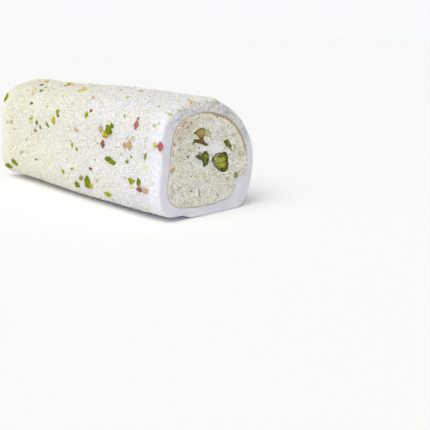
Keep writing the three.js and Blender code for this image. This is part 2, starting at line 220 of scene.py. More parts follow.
# Chopped nuts and petals on the side that shows, by kind: degrees round from +X over the top,
# distance from the front cut, length, width and turn in degrees.
SEEN_CHIPS = {
    "green": [
        (155, 31.2, 4.0, 3.6, 0), (181, 30.7, 4.9, 2.5, 5), (183, 28.0, 3.2, 1.6, 20),
        (210, 53.7, 3.2, 2.6, 0), (205, 45.5, 4.6, 3.7, 60), (195, 11.9, 3.4, 2.0, 85),
        (207, 106.6, 5.4, 2.0, 152), (213, 114.2, 6.2, 2.4, 0), (151, 29.4, 1.9, 1.8, 0),
        (179, 19.3, 1.8, 1.3, 0),
    ],
    "olive": [
        (171, 8.9, 2.4, 1.2, 75), (115, 101.3, 2.4, 1.6, 0), (127, 93.1, 2.6, 1.5, 0),
        (143, 92.7, 2.7, 1.3, 0), (160, 77.2, 3.6, 1.1, 146), (160, 85.9, 1.9, 1.8, 0),
        (164, 82.9, 1.9, 1.3, 0), (150, 69.0, 2.2, 1.5, 0), (198, 86.3, 2.7, 0.8, 0),
        (142, 15.4, 1.2, 1.1, 0),
    ],
    "light": [
        (211, 32.6, 4.2, 2.0, 0), (195, 16.1, 3.8, 2.2, 0), (146, 47.6, 2.4, 2.0, 90),
        (141, 116.2, 4.0, 2.2, 90), (120, 94.3, 2.2, 1.4, 0), (147, 69.9, 2.4, 1.9, 0),
        (109, 85.4, 2.6, 1.4, 0), (202, 63.7, 2.2, 1.7, 0), (175, 57.3, 2.0, 1.4, 90),
        (178, 53.6, 1.5, 1.5, 0), (197, 56.7, 1.6, 1.4, 0), (174, 17.1, 1.3, 0.9, 0),
        (142, 23.5, 1.5, 1.0, 90), (109, 43.3, 1.6, 1.2, 0), (105, 32.8, 2.4, 1.4, 0),
    ],
    "pale": [
        (122, 31.0, 2.2, 1.6, 0), (158, 90.9, 3.6, 2.6, 60), (158, 15.9, 1.8, 1.7, 0),
        (199, 15.9, 1.8, 1.4, 0), (145, 5.6, 1.6, 1.1, 0), (143, 3.7, 1.4, 1.1, 90),
        (133, 1.1, 1.5, 1.1, 0), (78, 2.0, 1.8, 1.1, 0), (173, 23.0, 1.7, 1.1, 0),
        (116, 21.7, 1.4, 1.0, 0), (128, 98.8, 2.2, 1.8, 0), (190, 73.1, 1.9, 1.1, 0),
        (150, 99.9, 1.8, 1.4, 0),
    ],
    "golden": [(159, 33.2, 4.0, 2.4, 0), (208, 43.2, 2.4, 2.0, 0), (155, 71.8, 3.4, 2.4, 110)],
    "yellow": [
        (118, 65.4, 3.8, 3.2, 0), (148, 31.9, 1.5, 1.0, 20), (133, 96.5, 1.6, 1.2, 0),
        (160, 3.7, 1.9, 2.0, 0),
    ],
    "orange": [(104, 104.6, 2.8, 2.2, 0), (103, 84.5, 4.6, 3.2, 0), (110, 0.9, 1.6, 0.9, 0)],
    "brown": [(203, 49.8, 3.0, 2.0, 20), (168, 87.0, 2.2, 1.2, 0)],
    "rose": [(147, 15.2, 3.5, 2.6, 90), (160, 0.8, 3.0, 3.2, 0), (142, 45.4, 1.6, 1.3, 0)],
    "dark rose": [(168, 35.1, 3.0, 2.6, 90), (193, 43.0, 2.2, 1.1, 0), (200, 11.2, 3.2, 1.7, 0)],
    "pale rose": [(165, 20.8, 2.5, 2.4, 270)],
    "tan": [
        (155, 36.4, 2.4, 2.6, 90), (164, 18.0, 3.5, 3.0, 90), (160, 53.6, 3.0, 1.1, 160),
        (129, 50.2, 2.2, 0.9, 150), (200, 7.9, 3.3, 1.8, 0),
    ],
    "dusty": [
        (164, 108.8, 2.2, 1.6, 0), (180, 95.2, 1.6, 1.2, 0), (195, 100.0, 1.5, 1.6, 0),
        (165, 112.5, 1.5, 1.2, 0), (171, 106.0, 1.8, 1.2, 0), (202, 38.5, 1.8, 1.2, 60),
        (109, 1.9, 2.2, 1.3, 0), (106, 0.8, 1.6, 0.6, 30), (127, 9.7, 1.3, 1.0, 0),
        (125, 0.4, 1.2, 0.9, 0), (77, 0.6, 1.9, 1.1, 60), (69, 0.5, 1.4, 1.0, 0),
        (62, 0.5, 1.3, 1.0, 0), (62, 0.0, 1.2, 0.9, 0),
    ],
}
# The chips of the other sides follow a spiral that spreads them evenly, with seeded unevenness.
SPIRAL_CHIPS = 124
CHIP_LENGTH = (1.7, 4.9)
CHIP_WIDTH_SHARE = (0.5, 0.85)
CHIP_THICKNESS_SHARE = 0.5
CHIP_THICKEST = 1.7
CHIP_PLANES = 7
CHIP_GROWN = 1.14  # times its seen size, for what lies under the coconut round its edge
CHIP_RAISED = 0.15  # how far its middle lies above the wrap, as a share of its thickness
CHIP_OVER_GROUND = 0.05  # the lowest that a chip reaches
CHIP_EDGE_ROOM = 2.6  # between the spiral's ends and the cuts
LARGE_CHIP = 3  # a longer one has finer faces
PETAL_THICKNESS = 0.7
PETAL_RAISED = 0.3
PETAL_SHARE = 0.2  # of the spiral's chips
GOLDEN_TURN = math.pi * (3 - math.sqrt(5))
SEEN_SIDE = (84, 226)  # where the chips are placed one by one, in degrees
SEED = 20147

# Small bits in the front face, by kind: place, length, width and turn.
FACE_BITS = {
    "olive": [
        (-18.2, 29.7, 1.0, 0.7, 70), (4.3, 7.4, 1.5, 0.5, 165), (13.1, 25.8, 1.5, 0.6, 115),
        (-5.9, 27.2, 0.9, 0.6, 10), (-11.2, 24.4, 1.2, 0.8, 20), (9.9, 13.3, 1.3, 0.8, 60),
        (10.2, 12.0, 0.9, 0.6, 20), (13.3, 17.9, 1.0, 0.5, 40), (-9.6, 10.9, 1.6, 0.5, 160),
    ],
    "dusty": [
        (-15.2, 13.2, 2.2, 0.8, 15), (-6.8, 38.5, 2.4, 0.5, 5), (0.3, 37.7, 1.8, 0.5, 175),
        (-11.6, 13.8, 1.8, 0.6, 5), (-5.4, 6.9, 0.9, 0.7, 30), (-5.6, 9.6, 3.2, 0.9, 88),
        (-15.9, 27.7, 1.4, 1.1, 40), (-10.5, 26.9, 1.8, 0.8, 170), (18.6, 22.0, 2.0, 1.3, 60),
        (16.5, 22.3, 1.8, 1.0, 75), (11.4, 24.7, 1.8, 1.0, 100), (-16.1, 32.5, 1.0, 0.8, 0),
    ],
    "brown": [(2.6, 17.6, 1.0, 0.7, 30)],
    "tan": [
        (-18.9, 26.7, 2.8, 0.4, 85), (16.6, 14.9, 1.8, 0.8, 60), (-19.0, 20.4, 2.4, 1.0, 15),
        (-9.9, 37.1, 1.8, 0.7, 110), (-12.2, 37.6, 1.8, 0.6, 160),
    ],
    "pale rose": [(-11.4, 35.6, 1.6, 0.6, 10), (-13.4, 36.9, 1.8, 0.5, 40)],
}
FACE_BIT_PROUD = 0.25  # how far their middles stand out of the nougat
FACE_BIT_PLANES = 8

# Which piece a kind of chip belongs to and its tone there, from 0 to 1.
KINDS = {
    "dusty": ("pistachio", 0.0),
    "olive": ("pistachio", 0.16),
    "green": ("pistachio", 0.36),
    "light": ("pistachio", 0.56),
    "pale": ("pistachio", 0.74),
    "yellow": ("pistachio", 0.82),
    "golden": ("pistachio", 0.92),
    "orange": ("pistachio", 1.0),
    "dark rose": ("petal", 0.15),
    "rose": ("petal", 0.6),
    "pale rose": ("petal", 1.0),
    "tan": ("flake", 0.7),
    "brown": ("flake", 0.1),
}
SPIRAL_KINDS = ["green", "golden", "olive", "green", "light", "green", "orange", "pale", "dusty", "green"]
SPIRAL_PETALS = ["rose", "tan", "dark rose"]


# ---- numbers and outlines ----

def draws_from(seed):
    """A repeatable stream of numbers between 0 and 1."""
    state = seed % 2147483647
    while True:
        state = state * 16807 % 2147483647
        yield state / 2147483647


def between(limits, share):
    return limits[0] + (limits[1] - limits[0]) * share


def smoothstep(value, low, high):
    share = np.clip((value - low) / (high - low), 0, 1)
    return share * share * (3 - 2 * share)


def reaching(angle, middle, reach):
    """1 near a middle angle in degrees and 0 further off than the reach, with a soft change."""
    away = np.degrees(np.abs((angle - math.radians(middle) + math.pi) % (2 * math.pi) - math.pi))
    return 1 - smoothstep(away, *reach)


def pressed(angle, radius, height):
    """A radius that is held back where it would reach lower than this height under the middle."""
    limit = height / np.maximum(-np.sin(angle), 1e-3)
    spare = np.abs(radius - limit) / PRESS_SOFTNESS
    return np.minimum(radius, limit) - PRESS_SOFTNESS * np.log1p(np.exp(-spare))


def section_radius(angle):
    across = (np.abs(np.cos(angle)) / HALF_WIDTH) ** SQUARENESS
    up = (np.abs(np.sin(angle)) / HALF_HEIGHT) ** SQUARENESS
    uneven = 1
    for times, (cosine, sine) in enumerate(LOBES, start=2):
        uneven = uneven + cosine * np.cos(times * angle) + sine * np.sin(times * angle)
    from_corner = (np.degrees(angle) % 360 - HOLLOW_CORNER_ANGLE) / HOLLOW_CORNER_SPREAD
    return (across + up) ** (-1 / SQUARENESS) * uneven - HOLLOW_CORNER * np.exp(-(from_corner ** 2))


def outer_radius(angle, along):
    turn = 2 * math.pi * along / SWELL_LENGTH
    swell = 1 + SWELL * (0.9 + np.sin(turn - 0.67) + 0.3 * np.sin(2 * angle + 1.7 * turn))
    return pressed(angle, section_radius(angle) * swell, MIDDLE_Z)


def rim_at(angle):
    """How far the wrap's rim is rounded at its cuts."""
    return RIM + RIM_TOP * reaching(angle, COATED_RIM_MIDDLE, COATED_RIM_REACH)


def wrap_thickness(angle):
    turned = np.degrees(angle) % 360
    stations, thickness = WRAP_THICKNESS.T
    after = np.clip(np.searchsorted(stations, turned, side="right"), 1, len(stations) - 1)
    share = smoothstep(turned, stations[after - 1], stations[after])
    return thickness[after - 1] + (thickness[after] - thickness[after - 1]) * share


def filling_radius(angle):
    return pressed(angle, section_radius(angle) - wrap_thickness(angle), MIDDLE_Z - WRAP_BOTTOM)


def even_angles(radius_at, count):
    """Angles that divide an outline into stretches of equal length."""
    angle = np.linspace(0, 2 * math.pi, 3001)
    x, z = radius_at(angle) * np.cos(angle), radius_at(angle) * np.sin(angle)
    travelled = np.concatenate([[0], np.cumsum(np.hypot(np.diff(x), np.diff(z)))])
    return np.interp(np.linspace(0, travelled[-1], count, endpoint=False), travelled, angle)


def around_middle(angle, radius):
    return MIDDLE_X + radius * np.cos(angle), MIDDLE_Z + radius * np.sin(angle)


def inside_by(x, z, outline):
    """How far inside an outline each point lies, negative where it is outside."""
    here = np.stack([x, z], -1)[:, None]
    start, end = outline, np.roll(outline, -1, axis=0)
    edge = end - start
    share = np.clip(((here - start) * edge).sum(-1) / (edge ** 2).sum(-1), 0, 1)
    away = np.linalg.norm(here - start - share[..., None] * edge, axis=-1).min(1)
    spans = (start[:, 1] > z[:, None]) != (end[:, 1] > z[:, None])
    climb = np.where(edge[:, 1] == 0, 1, edge[:, 1])
    meets = start[:, 0] + edge[:, 0] * (z[:, None] - start[:, 1]) / climb
    crossings = (spans & (x[:, None] < meets)).sum(1)
    return np.where(crossings % 2 == 1, away, -away)


# ---- meshes ----

def in_scene(name, data):
    """A new object of the scene that has this data."""
    new = bpy.data.objects.new(name, data)
    bpy.context.scene.collection.objects.link(new)
    return new


def piece_of(name, points, faces, attributes=None):
    """A piece with this mesh, in metres from points in millimetres, and its numbers by vertex."""
    mesh = bpy.data.meshes.new(name)
    mesh.from_pydata(np.asarray(points, float) * MM, [], faces)
    for label, values in (attributes or {}).items():
        layer = mesh.attributes.new(label, "FLOAT", "POINT")
        layer.data.foreach_set("value", np.asarray(values, np.float32))
    shape = bmesh.new()
    shape.from_mesh(mesh)
    bmesh.ops.recalc_face_normals(shape, faces=shape.faces)
    shape.to_mesh(mesh)
    shape.free()
    mesh.shade_smooth()
    return in_scene(name, mesh)


def ring_faces(rings, columns, closes=False):
    """Quads between rings of points; the last ring also joins the first if it closes."""
    row = np.arange(rings if closes else rings - 1)[:, None]
    column = np.arange(columns)[None]
    after, beside = (row + 1) % rings, (column + 1) % columns
    corners = [row * columns + column, row * columns + beside,
               after * columns + beside, after * columns + column]
    return np.stack([np.broadcast_to(c, (len(row), columns)) for c in corners], -1).reshape(-1, 4).tolist()


def fan_faces(middle, ring_start, columns):
    return [(middle, ring_start + i, ring_start + (i + 1) % columns) for i in range(columns)]


def capped(name, rings, attributes):
    """A closed piece through rings of points, capped by the middles of the first and last ring."""
    count, columns = rings.shape[:2]
    points = np.concatenate([rings.reshape(-1, 3), rings[0].mean(0)[None], rings[-1].mean(0)[None]])
    faces = ring_faces(count, columns)
    faces += fan_faces(count * columns, 0, columns)
    faces += fan_faces(count * columns + 1, (count - 1) * columns, columns)
    capped_values = {
        label: np.concatenate([values.reshape(-1), [values[0].mean(), values[-1].mean()]])
        for label, values in attributes.items()
    }
    return piece_of(name, points, faces, capped_values)


def joined(name, lumps):
    """One piece from many (points, faces, tone)."""
    points, faces, tones = [], [], []
    for lump_points, lump_faces, tone in lumps:
        faces += [[len(points) + corner for corner in face] for face in lump_faces]
        points += list(lump_points)
        tones += [tone] * len(lump_points)
    return piece_of(name, points, faces, {"tone": tones})


# ---- node trees ----

class Wire:
    """A socket that gives a value. Arithmetic on it adds the Math nodes that work it out."""

    def __init__(self, graph, socket):
        self.graph = graph
        self.socket = socket

    def maths(self, operation, *values):
        return self.graph.add("ShaderNodeMath", {"operation": operation}, dict(enumerate(values)))

    def __add__(self, other):
        return self.maths("ADD", self, other)

    def __sub__(self, other):
        return self.maths("SUBTRACT", self, other)

    def __rsub__(self, other):
        return self.maths("SUBTRACT", other, self)

    def __mul__(self, other):
        return self.maths("MULTIPLY", self, other)

    def __rtruediv__(self, other):
        return self.maths("DIVIDE", other, self)

    def __abs__(self):
        return self.maths("ABSOLUTE", self)

    __radd__ = __add__
    __rmul__ = __mul__

    def output(self, name):
        """Another output of the same node."""
        return Wire(self.graph, found(self.socket.node.outputs, name))


def found(sockets, name):
    """A node's socket with this name, or with this number, among those in use."""
    in_use = [socket for socket in sockets if socket.enabled]
    if isinstance(name, int):
        return in_use[name]
    return next(socket for socket in in_use if socket.name == name)


class Graph:
    """A node tree that is built a node at a time."""

    def __init__(self, tree):
        self.tree = tree
        tree.nodes.clear()

    def add(self, kind, settings=None, values=None, output=0):
        """Adds a node with its settings, then its sockets' values or links, and gives one output."""
        node = self.tree.nodes.new(kind)
        for name, value in (settings or {}).items():
            if name == "stops":
                self.set_stops(node.color_ramp, value)
            else:
                setattr(node, name, value)
        for name, value in (values or {}).items():
            socket = found(node.inputs, name)
            if isinstance(value, Wire):
                self.tree.links.new(value.socket, socket)
            else:
                socket.default_value = value
        return Wire(self, found(node.outputs, output)) if len(node.outputs) else None

    @staticmethod
    def set_stops(ramp, stops):
        while len(ramp.elements) < len(stops):
            ramp.elements.new(0.5)
        for element, (place, colour) in zip(ramp.elements, stops.items()):
            element.position = place
            element.color = linear(colour)


def linear(colour):
    """A colour as a screen shows it, from 0 to 255, in the linear values that shaders take."""
    shares = [value / 255 for value in colour]
    return (*(s / 12.92 if s <= 0.04045 else ((s + 0.055) / 1.055) ** 2.4 for s in shares), 1.0)


class Finish(Graph):
    """A material with one Principled shader. Its colours are given as a screen shows them.

    Where some light goes in, scatters says its share, how far each colour goes and the depth in
    millimetres.
    """

    def __init__(self, name, specular, roughness=0.5, scatters=None):
        self.material = bpy.data.materials.new(name)
        self.material.use_nodes = True
        super().__init__(self.material.node_tree)
        self.constants = {"Specular IOR Level": specular, "Roughness": roughness}
        if scatters:
            share, reach, depth = scatters
            self.constants.update({
                "Subsurface Weight": share, "Subsurface Radius": reach, "Subsurface Scale": depth * MM,
            })
        self.place = self.add("ShaderNodeTexCoord", output="Object")

    def number(self, name):
        """A number that the mesh holds for each vertex."""
        return self.add("ShaderNodeAttribute", {"attribute_name": name}, output="Fac")

    def noise(self, size, detail=2.0, roughness=0.5):
        """Soft noise with features of this size in millimetres."""
        values = {"Vector": self.place, "Scale": 1 / (size * MM), "Detail": detail, "Roughness": roughness}
        return self.add("ShaderNodeTexNoise", None, values, "Fac")

    def cells(self, size, output="Distance"):
        """How far a point lies from the middle of its cell, or that cell's own colour."""
        values = {"Vector": self.place, "Scale": 1 / (size * MM)}
        return self.add("ShaderNodeTexVoronoi", None, values, output)

    def spots(self, size, rarity, edges):
        """Soft spots in the middle of cells of this size; the higher the rarity, the fewer there are."""
        cell = self.cells(size, output="Color")
        chosen = self.step(self.add("ShaderNodeSeparateColor", None, {0: cell}, "Red"), *rarity)
        return (1 - self.step(self.cells(size), *edges)) * chosen

    def step(self, value, low, high):
        """0 below low, 1 above high and smooth between."""
        settings = {"interpolation_type": "SMOOTHSTEP"}
        values = {"Value": value, "From Min": low, "From Max": high}
        return self.add("ShaderNodeMapRange", settings, values, "Result")

    def patches(self, size, low, high, detail=2.0, roughness=0.5):
        """Patches of this size in millimetres: 1 where noise is above high and 0 where below low."""
        return self.step(self.noise(size, detail, roughness), low, high)

    def ramp(self, value, stops):
        """The colour for a value, from colours by value."""
        return self.add("ShaderNodeValToRGB", {"stops": stops}, {"Fac": value}, "Color")

    def mix(self, share, first, second, blend="MIX"):
        first, second = (c if isinstance(c, Wire) else linear(c) for c in (first, second))
        settings = {"data_type": "RGBA", "blend_type": blend}
        return self.add("ShaderNodeMix", settings, {"Factor": share, "A": first, "B": second}, "Result")

    def shaded(self, share, colour, shade):
        """A colour, multiplied by a shade as much as the share says."""
        return self.mix(share, colour, shade, "MULTIPLY")

    def bump(self, height, distance, strength=1.0):
        values = {"Height": height, "Distance": distance * MM, "Strength": strength}
        return self.add("ShaderNodeBump", None, values, "Normal")

    def done(self, **varied):
        """Joins what varies to the shader and gives the material."""
        values = dict(self.constants)
        values.update({name.replace("_", " ").title(): wire for name, wire in varied.items()})
        surface = self.add("ShaderNodeBsdfPrincipled", None, values, "BSDF")
        self.add("ShaderNodeOutputMaterial", None, {"Surface": surface})
        return self.material


# ---- finishes ----

# The brown of the line along the seam, of the faint line along the left edge and of the filling's sides.
EDGE_BROWN_COLOUR = (180, 165, 124)


def coat_colour(finish, tone):
    """White coconut with painted warm light towards the far end, stained green and yellow, and with painted
    shade on the cuts.
    """
    near_white = finish.ramp(tone, {0.0: (216, 214, 214), 0.5: (228, 226, 227), 1.0: (240, 239, 241)})
    warm_lit_white = finish.ramp(tone, {0.0: (222, 218, 200), 0.5: (232, 228, 212), 1.0: (241, 238, 226)})
    # Painted warm light: the coat turns creamier towards the far end.
    white = finish.mix(warm_light_towards_far_end(finish), near_white, warm_lit_white)
    stain = finish.spots(4.2, (0.5, 0.6), (0.08, 0.42))
    white = finish.mix(stain * 0.45, white, (222, 226, 176))
    white = finish.mix(finish.patches(9, 0.5, 0.7) * 0.25, white, (232, 230, 204))
    # Painted shade: greyer patches on the cut faces, which face away from the light.
    return finish.shaded(on_cut(finish) * finish.patches(1.5, 0.4, 0.6), white, (226, 227, 232))


def along_roll(finish):
    """How far a point lies from the roll's middle, in halves of its length."""
    return finish.add("ShaderNodeSeparateXYZ", None, {0: finish.place}, "Y") * (2 / (LENGTH * MM))


def warm_light_towards_far_end(finish):
    """0 at the cut that shows, rising to 1 near the other: the share of painted warm light."""
    return finish.step(along_roll(finish), -0.92, 0.84)


def on_cut(finish):
    """1 on the roll's two cut faces and 0 from a millimetre in."""
    return finish.step(abs(along_roll(finish)), 1 - 0.9 * 2 / LENGTH, 1 - 0.3 * 2 / LENGTH)


def wrap_finish():
    """Soft white sheet, satin where it is cut, and dry coconut where it is coated."""
    finish = Finish("wrap", specular=0.35, scatters=(0.25, (1.0, 0.9, 0.8), 1.2))
    coated = finish.number("coated")
    coat = coat_colour(finish, finish.patches(0.8, 0.3, 0.7, 3))
    clouds = finish.patches(7, 0.35, 0.65)
    cut = finish.mix(clouds, (218, 215, 225), (226, 225, 232))
    # Painted warm light: the sheet turns warmer towards the far end.
    outside = finish.mix(warm_light_towards_far_end(finish), (236, 239, 247), (240, 237, 222))
    sheet = finish.mix(on_cut(finish), outside, cut)
    height = finish.noise(0.45, 3, 0.6) * coated + finish.noise(2.2, 2) * (1 - coated) * 0.25
    return finish.done(
        base_color=finish.mix(finish.number("rind"), finish.mix(coated, sheet, coat), EDGE_BROWN_COLOUR),
        roughness=0.5 + 0.4 * coated,
        normal=finish.bump(height, 0.15, 0.5),
    )


def coconut_finish():
    """Grated coconut; tone runs from greyer to whiter."""
    finish = Finish("coconut", specular=0.3, roughness=0.75, scatters=(0.2, (1.0, 0.95, 0.9), 0.8))
    return finish.done(base_color=coat_colour(finish, finish.number("tone")))


def nougat_finish():
    """Pale nougat, blotched and flecked, with painted shade in pits, in the torn hollow and round the
    kernels, smooth where smeared and brown along the seam.
    """
    finish = Finish("nougat", specular=0.3, roughness=0.8, scatters=(0.3, (1.0, 0.9, 0.7), 1.0))
    pale = finish.mix(finish.patches(6, 0.35, 0.65), (246, 242, 226), (249, 248, 242))
    blotches = 1 - finish.patches(2.6, 0.36, 0.52)
    pale = finish.mix(blotches * 0.4, pale, (216, 212, 192))
    pale = finish.mix(finish.number("blush"), pale, (234, 217, 195))
    smear = finish.number("smear") * finish.patches(1.6, 0.34, 0.56, 3)
    # Painted shade of pits: darker patches where the nougat is not smeared.
    painted_pit_shade = (1 - finish.patches(0.9, 0.36, 0.52, 3, 0.6)) * (1 - smear)
    pale = finish.mix(painted_pit_shade * 0.55, pale, (184, 180, 156))
    flecks = finish.spots(1.9, (0.7, 0.76), (0.1, 0.26))
    pale = finish.mix(flecks * 0.7, pale, (158, 150, 116))
    pale = finish.mix(smear, pale, (243, 242, 244))
    pale = finish.mix(finish.number("band"), pale, (248, 243, 226))
    # Painted shade in the hollow of the torn-out kernel and round the kernels.
    pale = finish.mix(finish.number("hollow"), pale, (190, 182, 152))
    pale = finish.mix(finish.number("rind"), pale, EDGE_BROWN_COLOUR)
    return finish.done(base_color=pale, normal=finish.bump(finish.noise(0.35, 3, 0.65), 0.2, 0.8))


def pistachio_finish():
    """Chopped pistachio; tone runs from dusty over olive, green and pale yellow to golden."""
    finish = Finish(
        "chopped_pistachio", specular=0.1, roughness=0.6, scatters=(0.1, (0.8, 1.0, 0.3), 0.5))
    body = finish.ramp(finish.number("tone"), {
        0.0: (204, 200, 170), 0.1: (156, 156, 116), 0.16: (136, 138, 86), 0.28: (110, 122, 2),
        0.38: (131, 146, 2), 0.56: (168, 178, 24), 0.68: (212, 218, 138), 0.75: (224, 226, 172),
        0.82: (232, 220, 144), 0.92: (200, 180, 56), 1.0: (222, 190, 100),
    })
    body = finish.shaded(1 - finish.patches(1.6, 0.42, 0.56, 3), body, (212, 216, 190))
    body = finish.shaded(finish.patches(1.1, 0.6, 0.7, 3), body, (176, 172, 130))
    return finish.done(base_color=body, normal=finish.bump(finish.noise(0.6, 3), 0.3, 0.9))


def petal_finish():
    """Crumbs of dried rose petal; tone runs from dark over rose to pale."""
    finish = Finish("rose_petal", specular=0.25, roughness=0.7)
    body = finish.ramp(finish.number("tone"), {
        0.0: (146, 92, 78), 0.3: (168, 106, 94), 0.6: (190, 114, 114), 1.0: (198, 156, 128),
    })
    body = finish.shaded(1 - finish.patches(1.3, 0.42, 0.58, 3), body, (226, 208, 210))
    return finish.done(base_color=body, normal=finish.bump(finish.noise(0.5, 3), 0.2, 0.7))


def flake_finish():
    """Bits of kernel skin; tone runs from brown to tan."""
    finish = Finish("skin_flake", specular=0.3, roughness=0.65)
    tone = finish.number("tone") + (finish.noise(1.0, 3) - 0.5) * 0.5
    body = finish.ramp(tone, {0.0: (146, 130, 84), 0.4: (170, 144, 102), 1.0: (212, 182, 134)})
    return finish.done(base_color=body, normal=finish.bump(finish.noise(0.4, 3), 0.15, 0.6))


def kernel_finish():
    """A cut kernel: pale inside, dark green or brown at its rim, with a brown and grey skin."""
    finish = Finish("cut_kernel", specular=0.16, scatters=(0.15, (0.8, 1.0, 0.3), 0.8))
    rim = finish.number("rim") + (finish.noise(1.3, 3) - 0.5) * 0.34
    green = finish.ramp(rim, {
        0.0: (178, 186, 84), 0.45: (170, 178, 66), 0.66: (136, 146, 32), 0.82: (98, 102, 12),
        1.0: (76, 76, 8),
    })
    golden = finish.ramp(rim, {
        0.0: (222, 200, 104), 0.5: (214, 188, 88), 0.75: (184, 160, 62), 0.9: (140, 124, 52),
        1.0: (120, 92, 48),
    })
    body = finish.mix(finish.number("gold"), green, golden)
    mottle = finish.patches(1.4, 0.36, 0.6, 3)
    body = finish.mix(finish.number("dark") * (mottle * 0.5 + 0.38), body, (88, 90, 22))
    body = finish.mix(finish.patches(0.7, 0.56, 0.66) * 0.45, body, (96, 104, 40))
    chalky = finish.number("chalk") * finish.patches(0.9, 0.36, 0.56, 3)
    body = finish.mix(chalky, body, (186, 180, 138))
    body = finish.mix(finish.number("split") * 0.85, body, (66, 80, 12))
    skin = finish.mix(finish.patches(1.2, 0.4, 0.6), (104, 80, 42), (98, 88, 70))
    body = finish.mix(finish.number("skin"), body, skin)
    return finish.done(base_color=body, normal=finish.bump(finish.noise(0.5, 3), 0.12, 0.6))


def torn_skin_finish():
    """A tan skin with upright fibres, deeper and ruddier in its lower part, deeper at its left tip, with
    painted shade along its edge, and pale on the right.
    """
    finish = Finish("torn_skin", specular=0.3, roughness=0.6)
    stretched = finish.add("ShaderNodeMapping", None, {"Vector": finish.place, "Scale": (1.0, 1.0, 0.3)})
    grain = {"Vector": stretched, "Scale": 1 / (0.7 * MM), "Detail": 3.0}
    fibres = finish.add("ShaderNodeTexNoise", None, grain, "Fac")
    # Deeper brown in the lower part and at the left tip, and painted shade along the edge.
    body = finish.mix(finish.number("deep"), (190, 165, 100), (122, 106, 42))
    body = finish.mix(finish.number("ruddy"), body, (134, 98, 50))
    body = finish.mix(finish.number("pale"), body, (208, 208, 172))
    body = finish.shaded(1 - finish.step(fibres, 0.4, 0.6), body, (222, 214, 200))
    return finish.done(base_color=body, normal=finish.bump(fibres, 0.2, 0.8))


# ---- geometry trees ----

def tree_with(name, inputs):
    """A geometry tree with these named inputs, its group input and a graph to build it with."""
    tree = bpy.data.node_groups.new(name, "GeometryNodeTree")
    tree.interface.new_socket("Geometry", in_out="INPUT", socket_type="NodeSocketGeometry")
    for label, kind in inputs.items():
        tree.interface.new_socket(label, in_out="INPUT", socket_type="NodeSocket" + kind)
    tree.interface.new_socket("Geometry", in_out="OUTPUT", socket_type="NodeSocketGeometry")
    graph = Graph(tree)
    return graph, graph.add("NodeGroupInput")


def ends_in(graph, geometry, finish):
    real = graph.add("GeometryNodeRealizeInstances", None, {"Geometry": geometry})
    coloured = graph.add("GeometryNodeSetMaterial", None, {"Geometry": real, "Material": finish})
    graph.add("NodeGroupOutput", None, {"Geometry": coloured})
    return graph.tree


def number_on(graph, name):
    return graph.add("GeometryNodeInputNamedAttribute", {"data_type": "FLOAT"}, {"Name": name}, "Attribute")


def coarse_noise(graph, size, seed, detail=2.0):
    """Noise about 0 with features of this size in metres."""
    position = graph.add("GeometryNodeInputPosition")
    values = {"Vector": position, "W": seed, "Scale": 1.0 / size, "Detail": detail}
    return graph.add("ShaderNodeTexNoise", {"noise_dimensions": "4D"}, values, "Fac") - 0.5


def grained_tree():
    """Raises soft lumps and grains on a skin, as high as its grained number says."""
    graph, given = tree_with("grained_skin", {
        "Lump Size": "Float", "Lump Height": "Float", "Grain Size": "Float", "Grain Height": "Float",
        "Seed": "Float", "Finish": "Material",
    })
    seed = given.output("Seed")
    lumps = coarse_noise(graph, given.output("Lump Size"), seed) * given.output("Lump Height")
    grains = coarse_noise(graph, given.output("Grain Size"), seed, 3.0) * given.output("Grain Height")
    height = (lumps + grains) * 2 * number_on(graph, "grained")
    normal = graph.add("GeometryNodeInputNormal")
    offset = graph.add("ShaderNodeVectorMath", {"operation": "SCALE"}, {0: normal, "Scale": height})
    moved = graph.add("GeometryNodeSetPosition", None, {"Geometry": given, "Offset": offset})
    return ends_in(graph, moved, given.output("Finish"))


def scattered_tree():
    """Lays lumps at random over a skin, as densely as its coated number says, each with its tone."""
    graph, given = tree_with("scattered_bits", {
        "Lumps": "Collection", "Per Square Metre": "Float", "Smallest": "Float", "Largest": "Float",
        "Tilt": "Float", "Least Tone": "Float", "Most Tone": "Float", "Seed": "Int", "Finish": "Material",
    })
    seed = given.output("Seed")
    spread = {"Mesh": given, "Density": given.output("Per Square Metre"), "Seed": seed}
    points = graph.add("GeometryNodeDistributePointsOnFaces", {"distribute_method": "RANDOM"}, spread)
    thinned = graph.add("GeometryNodeDeleteGeometry", {"domain": "POINT"}, {
        "Geometry": points,
        "Selection": graph.add("FunctionNodeCompare", {"data_type": "FLOAT", "operation": "GREATER_THAN"}, {
            "A": graph.add("FunctionNodeRandomValue", {"data_type": "FLOAT"}, {"Seed": seed}),
            "B": number_on(graph, "coated"),
        }),
    })
    lumps = graph.add("GeometryNodeCollectionInfo", None, {
        "Collection": given.output("Lumps"), "Separate Children": True, "Reset Children": True,
    })
    tilt = given.output("Tilt")
    most = graph.add("ShaderNodeCombineXYZ", None, {"X": tilt, "Y": tilt, "Z": math.pi})
    least = graph.add("ShaderNodeVectorMath", {"operation": "SCALE"}, {0: most, "Scale": -1.0})
    limits = {"Min": least, "Max": most, "Seed": seed}
    spin = graph.add("FunctionNodeRandomValue", {"data_type": "FLOAT_VECTOR"}, limits)
    turn = graph.add("FunctionNodeRotateRotation", {"rotation_space": "LOCAL"}, {
        "Rotation": points.output("Rotation"), "Rotate By": spin,
    })
    share = graph.add("FunctionNodeRandomValue", {"data_type": "FLOAT"}, {"Seed": seed})
    range_of_sizes = given.output("Largest") - given.output("Smallest")
    size = given.output("Smallest") + range_of_sizes * share * share
    placed = graph.add("GeometryNodeInstanceOnPoints", None, {
        "Points": thinned, "Instance": lumps, "Pick Instance": True, "Rotation": turn, "Scale": size,
    })
    tones = {"Min": given.output("Least Tone"), "Max": given.output("Most Tone"), "Seed": seed}
    toned = graph.add("GeometryNodeStoreNamedAttribute", {"data_type": "FLOAT", "domain": "INSTANCE"}, {
        "Geometry": placed, "Name": "tone",
        "Value": graph.add("FunctionNodeRandomValue", {"data_type": "FLOAT"}, tones),
    })
    return ends_in(graph, toned, given.output("Finish"))


